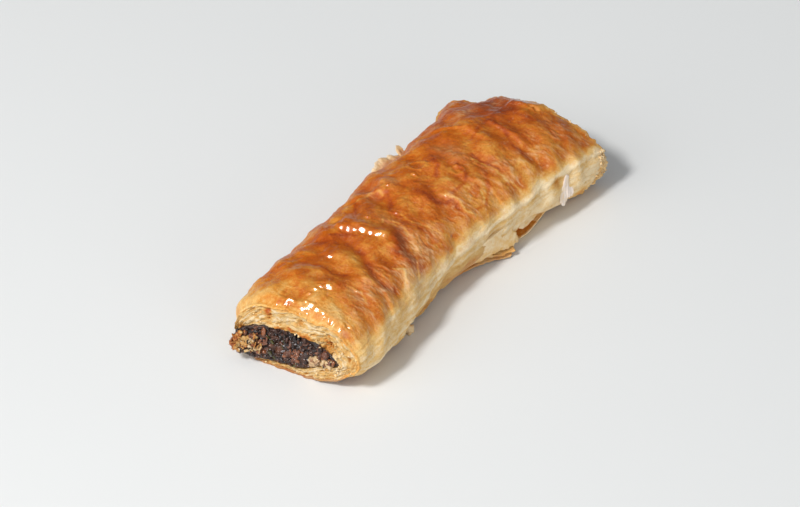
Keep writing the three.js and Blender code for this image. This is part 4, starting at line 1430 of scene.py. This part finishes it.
def leaf(root, edge, thickness, wave=0.3, torn=0.15, curl=0.0, seed=0):
    """A thin leaf as a closed sheet between a root curve and a free edge. Across it runs a straight line,
    lifted by waves and by a curl that grows with the square of the way out, and cut short by noise at
    the free edge. Returns its points, its faces and each point's share of the way out."""
    u = np.linspace(0, 1, LEAF_ROWS)[:, None]
    v = np.linspace(0, 1, LEAF_COLUMNS)[None, :]
    length = np.linalg.norm(np.diff(through(edge, u[:, 0]), axis=0), axis=1).sum()
    tear = torn * np.clip(0.4 + grain.rough(u * length / 2.2, seed + 0.5, 0.0, 3), 0, 1.3)
    tear = tear + 0.25 * smooth(0.75, 1.0, np.abs(2 * u - 1)) * v
    reach = v * (1 - v * tear)
    ragged = 0.5 * torn * (grain.rough(v * 3.0, seed + 5.5, 0.0, 3) - 0.3) * (2 * u - 1) ** 5
    place = np.clip(u + ragged, 0, 1)
    middle = through(root, place) * (1 - reach[..., None]) + through(edge, place) * reach[..., None]
    ripple = grain.rough(u * length / 5, v * 1.5, seed + 3.0, 3)
    middle[..., 2] += wave * v * ripple + curl * v * v
    slope_u = np.gradient(middle, axis=0)
    slope_v = np.gradient(middle, axis=1)
    normal = np.cross(slope_u, slope_v)
    normal /= np.maximum(np.linalg.norm(normal, axis=-1, keepdims=True), 1e-9)
    round_edge = np.sqrt(np.clip(1 - np.clip((v - 0.9) / 0.1, 0, 1) ** 2, 0.04, 1))
    ends = np.sqrt(np.clip(1 - np.clip((np.abs(2 * u - 1) - 0.94) / 0.06, 0, 1) ** 2, 0.04, 1))
    thick = (thickness[0] + (thickness[1] - thickness[0]) * v) * round_edge * ends
    flake = 0.12 * grain.rough(u * length / 1.5, v * 6.0, seed + 9.0, 3)
    upper = middle + normal * (thick / 2 * (1 + flake))[..., None]
    lower = middle - normal * (thick / 2 * (1 - flake))[..., None]
    ring = np.concatenate([lower, upper[:, ::-1]], 1)
    ring[..., 2] = np.maximum(ring[..., 2], 2 * FLOOR_CLEARANCE)
    columns = 2 * LEAF_COLUMNS
    body = grid_faces(LEAF_ROWS, columns, False, True)
    k = np.arange(LEAF_COLUMNS - 1)
    caps = []
    for first, turned in ((0, False), ((LEAF_ROWS - 1) * columns, True)):
        cap = first + np.stack([k, k + 1, columns - 2 - k, columns - 1 - k], -1)
        caps.append(cap if turned else cap[:, ::-1])
    share = np.repeat(np.concatenate([v, v[:, ::-1]], 1), LEAF_ROWS, 0)
    return ring.reshape(-1, 3), np.concatenate([body, *caps]), share.ravel()


# Name, then leaves: three places of the root and of the free edge, the thickness at each, wave, tear,
# curl, browned at the root and at the edge, lifted.
LEAVES = {
    "base_flap": [
        ([(9, -3, 1.4), (13, 10, 1.7), (17, 24, 2.0)],
         [(12.6, 0, 0.7), (17.6, 12.6, 0.8), (25.2, 25.2, 0.9)],
         (1.4, 0.4), 0.25, 0.10, 0.0, 0.36, 0.26, 0.8),
        ([(14, 12, 3.6), (16, 19, 3.6), (18, 27, 3.4)],
         [(19.2, 15.5, 3.0), (22.6, 21, 2.4), (24.8, 26.2, 2.4)],
         (1.2, 0.7), 0.3, 0.12, 0.2, 0.32, 0.26, 0.3),
        ([(9, -9, 1.8), (11, 2, 2.2), (13, 12, 2.4)],
         [(12.9, -8, 0.8), (15.2, 2.5, 1.4), (18.8, 13, 1.8)],
         (1.4, 0.4), 0.25, 0.06, 0.0, 0.30, 0.34, 0.9),
    ],
    "side_fan": [
        ([(16.8, -4, 9.0), (19.8, 10, 13.0), (20.6, 27, 12.5)],
         [(15.6, 2, 3.6), (19.8, 15, 4.6), (23.6, 28.6, 3.4)],
         (1.6, 0.5), 0.4, 0.10, -0.4, 0.06, 0.16, 0.1),
        ([(17.4, 4, 6.5), (18.8, 14, 8.0), (20.0, 29, 8.0)],
         [(18.6, 12, 3.4), (21.4, 21, 4.2), (22.6, 31.0, 2.4)],
         (1.4, 0.5), 0.4, 0.16, 0.0, 0.10, 0.20, 0.1),
    ],
    "pocket_lip": [
        ([(17, 29, 0.8), (19, 38, 0.8), (18.0, 50, 1.0)],
         [(22.0, 30.4, 2.4), (22.6, 38.5, 4.4), (21.2, 49, 6.0)],
         (1.4, 0.5), 0.4, 0.10, 0.4, 0.20, 0.06, 0.1),
        ([(15, 30, 2.4), (16, 35, 2.9), (17, 41, 3.6)],
         [(21.6, 30.6, 2.6), (22.2, 35.5, 3.7), (21.9, 41.5, 4.8)],
         (1.0, 0.4), 0.2, 0.06, 0.0, 0.52, 0.40, 0.1),
        ([(16, 39, 3.3), (17, 43, 4.0), (17, 49, 4.8)],
         [(22.0, 39.5, 4.5), (21.8, 44, 5.3), (20.7, 49, 6.0)],
         (1.0, 0.4), 0.3, 0.10, 0.0, 0.24, 0.14, 0.1),
        ([(20.2, 30, 9.6), (20.6, 37, 10.0), (20.4, 46, 10.4)],
         [(22.0, 30.6, 6.6), (22.6, 36.5, 7.4), (21.6, 45, 8.0)],
         (1.0, 0.4), 0.3, 0.05, 0.0, 0.04, 0.10, 0.1),
    ],
    "dough_tongue": [
        ([(24.4, 54.0, 17.8), (24.6, 54.6, 17.4), (24.8, 55.4, 16.6)],
         [(25.6, 47.6, 8.6), (26.6, 50.2, 7.2), (26.2, 53.0, 9.0)],
         (0.5, 0.6), 0.9, 0.10, 0.5, 0.05, 0.0, 0.0),
        ([(24.6, 54.2, 15.4), (24.7, 54.8, 14.8), (24.8, 55.4, 14.0)],
         [(26.8, 51.6, 9.6), (27.2, 53.6, 8.8), (26.8, 56.2, 10.2)],
         (0.5, 0.5), 0.8, 0.14, 0.2, 0.12, 0.05, 0.0),
    ],
    "far_toe": [
        ([(16, 59, 2.0), (16, 65, 2.2), (16, 71, 3.0)],
         [(22.4, 60, 1.2), (24.6, 65, 1.6), (24.6, 71, 3.2)],
         (2.0, 0.8), 0.6, 0.22, 0.3, 0.22, 0.30, 0.1),
        ([(20, 60, 6.0), (21, 66, 6.0), (20, 73, 6.5)],
         [(25.0, 61, 4.0), (27.0, 66.5, 4.6), (26.6, 74, 6.0)],
         (1.6, 0.6), 0.6, 0.25, 0.4, 0.08, 0.16, 0.1),
        ([(22, 66, 11.0), (22, 70, 11.5), (21, 75, 12.0)],
         [(28.0, 67, 9.0), (28.6, 71, 10.0), (27.4, 77, 11.5)],
         (1.6, 0.5), 0.7, 0.3, 0.3, 0.02, 0.10, 0.1),
    ],
    "left_flakes": [
        ([(-27.0, 14, 14), (-27.4, 22, 15), (-27.6, 31, 15)],
         [(-30.4, 14.6, 15.6), (-32.4, 20.8, 18.8), (-30.6, 29, 17.0)],
         (2.6, 0.4), 0.9, 0.12, 0.3, 0.75, 0.04, 0.1),
        ([(-27.4, 30.6, 14), (-27.6, 32, 14), (-27.8, 33.6, 14)],
         [(-31.6, 30.8, 16.4), (-33.0, 32.4, 17.2), (-31.8, 34, 16.2)],
         (1.8, 0.4), 0.7, 0.16, 0.2, 0.75, 0.08, 0.1),
        ([(-24.5, -66, 12), (-24.8, -63.5, 12.5), (-25.2, -61, 13)],
         [(-27.0, -66, 13), (-27.4, -63.5, 14), (-26.8, -61, 14)],
         (0.8, 0.3), 0.4, 0.3, 0.4, 0.2, 0.26, 0.2),
    ],
    "side_flake": [
        ([(13, -27, 2.4), (14, -21, 2.7), (13, -15, 2.6)],
         [(16.4, -28, 2.2), (18.0, -21.5, 2.4), (16.6, -14, 2.9)],
         (0.8, 0.3), 0.3, 0.06, 0.0, 0.16, 0.24, 0.3),
    ],
}


# Finishes of the leaves that aren't plain: name, mottle, shade and the share of underbaked dough.
LEAF_FINISHES = {
    "dough_tongue": ("underbaked", 0.10, 0.0, 0.92),
    "left_flakes": ("pale leaf", 0.12, 0.10, 0.22),
}


class PASTRY_OT_leaves(bpy.types.Operator):
    """Make the loose leaves: the base's flap, the lip of the pocket, the tongue and the torn flakes"""

    bl_idname = "pastry.leaves"
    bl_label = "Loose leaves"

    def execute(self, context):
        for order, (name, leaves) in enumerate(LEAVES.items()):
            sets = []
            for number, row in enumerate(leaves):
                root, edge, thickness, wave, torn, curl, brown_root, brown_edge, lift = row
                points, faces, share = leaf(root, edge, thickness, wave, torn, curl, 10 * order + number)
                if signed_volume(points, faces) < 0:
                    faces = faces[:, ::-1]
                x, y, z = points.T / 2.5
                browned = brown_root + (brown_edge - brown_root) * share + 0.12 * grain.rough(y, x, z, 3)
                values = np.stack([np.clip(browned, 0, 1), np.full_like(browned, lift)], -1)
                sets.append((points, faces, values))
            points, faces, values = joined(sets)
            held = {"browned": values[:, 0], "lifted": values[:, 1]}
            finish = dough_finish(*LEAF_FINISHES.get(name, ("leaf", 0.16)))
            make_piece(name, points, [faces], finish, "crust", held)
        return {"FINISHED"}


# The loose flake beside the roll is a heap of bits: x, y, z and width.
LOOSE_FLAKE = np.array([(18.2, -30.7, 1.5, 6.2), (17.3, -30.0, 1.2, 4.2), (19.2, -30.3, 1.1, 3.6)])
# Crumbs at the near cut, at the far cut and at its torn corner: how many, least and greatest width.
CRUMBS = [(70, 0.4, 1.2), (220, 0.5, 1.9), (150, 0.5, 1.6)]


class PASTRY_OT_crumbs(bpy.types.Operator):
    """Make the loose flake beside the roll and the crumbs on the torn edges"""

    bl_idname = "pastry.crumbs"
    bl_label = "Crumbs"

    def execute(self, context):
        draw = np.random.default_rng(77)
        flake = scattered(draw, LOOSE_FLAKE[:, :3], LOOSE_FLAKE[:, 3], 0.25, 0.25)
        shares = np.arange(360) / 360
        centres = []
        for cut, outward, (count, *_) in ((NEAR, -1.0, CRUMBS[0]), (FAR, 1.0, CRUMBS[1])):
            edge = crust_surface(np.array([cut]), shares)[0][0]
            mouth = bore_ring(np.array([cut]), shares)[0]
            pick, share = draw.integers(30, 330, count), draw.random((count, 1))
            places = edge[pick] * (1 - share) + mouth[pick] * share
            places[:, 1] += outward * draw.uniform(-0.5, 0.4, count)
            centres.append(places)
        corner = crust_surface(np.linspace(FAR - 3.2, FAR, 8), shares)[0].reshape(-1, 3)
        corner = corner[(corner[:, 0] > 23) & (corner[:, 2] > 3) & (corner[:, 2] < 17)]
        centres.append(corner[draw.integers(0, len(corner), CRUMBS[2][0])])
        widths = np.concatenate([draw.uniform(least, most, count) for count, least, most in CRUMBS])
        crumbs = scattered(draw, np.concatenate(centres), widths, 0.3, 0.8)
        points, faces, numbers = joined([flake, crumbs])
        held = {"browned": 0.02 + 0.16 * numbers, "lifted": np.full_like(numbers, 0.1)}
        make_piece("crumbs", points, [faces], dough_finish("crumb", 0.3), "crust", held)
        return {"FINISHED"}


# ---- The stage ----

CAMERA_AROUND, CAMERA_UP = math.radians(36.2), math.radians(39.0)
CAMERA_AWAY = 3.0
CAMERA_LENS, CAMERA_SENSOR = 391.5, 36.0
AIM = Vector((4.3, 1.6, 12.0)) * MM
AIM_ASIDE, AIM_ABOVE = -5.86 * MM, -4.66 * MM
KEY_FROM, KEY_AWAY, KEY_COLOUR = Vector((-0.093, -0.622, 0.777)), 1.5, (1.0, 0.985, 0.96)
FILL_FROM, FILL_AWAY, FILL_COLOUR = Vector((0.90, -0.35, 0.17)), 1.8, (1.0, 0.99, 0.97)
SKY_COLOUR = (0.97, 0.985, 1.0, 1.0)
WINDOW_FROM = (-0.35, -0.85, 0.39)
BEHIND = (-0.59, 0.81, 0.0)  # from the camera over the roll
FLOOR_HALF = 3.0
FLOOR_SHADE = (0.7, 0.7, 0.7)  # of the floor's faint blotches


def lamp(name, direction, away, size, power, colour):
    """A round lamp that faces the roll, away from it in the given direction."""
    light = bpy.data.lights.new(name, "AREA")
    light.shape = "DISK"
    light.size = size
    light.energy = power
    light.color = colour
    holder = bpy.data.objects.new(name, light)
    holder.location = AIM + direction.normalized() * away
    holder.rotation_euler = direction.to_track_quat("Z", "Y").to_euler()
    bpy.context.scene.collection.objects.link(holder)


class PASTRY_OT_stage(bpy.types.Operator):
    """Set up the floor, the light and the camera"""

    bl_idname = "pastry.stage"
    bl_label = "Stage"

    def execute(self, context):
        look = context.scene.pastry_stage
        self.floor(look)
        self.light(context, look)
        self.camera(context)
        return {"FINISHED"}

    def floor(self, look):
        """A wide square at height 0."""
        mesh = bpy.data.meshes.new("floor")
        h = FLOOR_HALF
        mesh.from_pydata([(-h, -h, 0), (h, -h, 0), (h, h, 0), (-h, h, 0)], [], [(0, 1, 2, 3)])
        material, board, shader = new_finish("floor")
        shade = board.noise(board.place(), 3.0, 2.0)
        share = board.span(shade, 0.2, 0.8, 0.0, 0.05)
        tone = board.blend(share, (*look.floor, 1.0), (*FLOOR_SHADE, 1.0))
        board.feed(shader.inputs["Base Color"], tone)
        shader.inputs["Roughness"].default_value = 0.5
        mesh.materials.append(material)
        floor = bpy.data.objects.new("floor", mesh)
        bpy.context.scene.collection.objects.link(floor)

    def light(self, context, look):
        """Two lamps, and a sky that is brighter upwards, dimmer behind the roll and brightest round one
        direction, where a window would be."""
        lamp("key", KEY_FROM, KEY_AWAY, look.key_size, look.key, KEY_COLOUR)
        lamp("fill", FILL_FROM, FILL_AWAY, look.fill_size, look.fill, FILL_COLOUR)
        world = bpy.data.worlds.new("studio")
        world.use_nodes = True
        board = Board(world.node_tree)
        back = world.node_tree.nodes["Background"]
        back.inputs["Color"].default_value = SKY_COLOUR
        towards = board.add("ShaderNodeTexCoord").outputs["Generated"]
        height = board.add("ShaderNodeSeparateXYZ", Vector=towards).outputs["Z"]
        sky = board.span(height, 0.0, 1.0, 0.35 * look.sky, 1.5 * look.sky)
        sky = board.math("MULTIPLY", sky, board.span(board.dot(towards, BEHIND), -0.7, 0.7, 1.5, 0.4))
        glow = board.span(board.dot(towards, WINDOW_FROM), 0.86, 0.94, 0.0, look.window)
        board.feed(back.inputs["Strength"], board.math("ADD", sky, glow))
        context.scene.world = world
        context.scene.view_settings.view_transform = "Standard"

    def camera(self, context):
        """A camera with a long lens, at an angle around and an angle up from the place it looks at."""
        a, e = CAMERA_AROUND, CAMERA_UP
        look = Vector((-math.sin(a) * math.cos(e), math.cos(a) * math.cos(e), -math.sin(e)))
        right = Vector((math.cos(a), math.sin(a), 0.0))
        up = right.cross(look)
        data = bpy.data.cameras.new("camera")
        data.lens = CAMERA_LENS
        data.sensor_width = CAMERA_SENSOR
        data.clip_start, data.clip_end = 0.1, 20.0
        camera = bpy.data.objects.new("camera", data)
        place = AIM + right * AIM_ASIDE + up * AIM_ABOVE - look * CAMERA_AWAY
        turn = Matrix((right, up, -look)).transposed().to_4x4()
        camera.matrix_world = Matrix.Translation(place) @ turn
        context.scene.collection.objects.link(camera)
        context.scene.camera = camera


class PASTRY_PT_roll(bpy.types.Panel):
    """Settings and steps of the pastry roll"""

    bl_idname = "PASTRY_PT_roll"
    bl_label = "Pastry roll"
    bl_space_type = "VIEW_3D"
    bl_region_type = "UI"
    bl_category = "Pastry roll"

    def draw(self, context):
        for key, label, *_ in SETTINGS:
            box = self.layout.box()
            box.label(text=label)
            settings = getattr(context.scene, key)
            for name in settings.bl_rna.properties.keys():
                if name not in ("rna_type", "name"):
                    box.prop(settings, name)
        for operator in OPERATORS:
            self.layout.operator(operator.bl_idname)


SETTINGS = [
    ("pastry_crust", "Crust", PastryCrustSettings),
    ("pastry_rim", "Rims", PastryRimSettings),
    ("pastry_filling", "Filling", PastryFillingSettings),
    ("pastry_stage", "Stage", PastryStageSettings),
]
OPERATORS = [
    PASTRY_OT_stage,
    PASTRY_OT_crust,
    PASTRY_OT_rims,
    PASTRY_OT_filling,
    PASTRY_OT_mince,
    PASTRY_OT_leaves,
    PASTRY_OT_crumbs,
]


def register():
    """Add the settings, the operators and the panel to Blender."""
    for key, _, settings in SETTINGS:
        bpy.utils.register_class(settings)
        setattr(bpy.types.Scene, key, PointerProperty(type=settings))
    for operator in OPERATORS:
        bpy.utils.register_class(operator)
    bpy.utils.register_class(PASTRY_PT_roll)


def unregister():
    """Take them out again."""
    bpy.utils.unregister_class(PASTRY_PT_roll)
    for operator in reversed(OPERATORS):
        bpy.utils.unregister_class(operator)
    for key, _, settings in reversed(SETTINGS):
        delattr(bpy.types.Scene, key)
        bpy.utils.unregister_class(settings)


def corners(box):
    """A box's two corners as plain numbers."""
    return [[float(value) for value in corner] for corner in box]


def main():
    """Run each step in turn."""
    register()
    for operator in OPERATORS:
        group, step = operator.bl_idname.split(".")
        getattr(getattr(bpy.ops, group), step)()


if __name__ == "__main__":
    main()
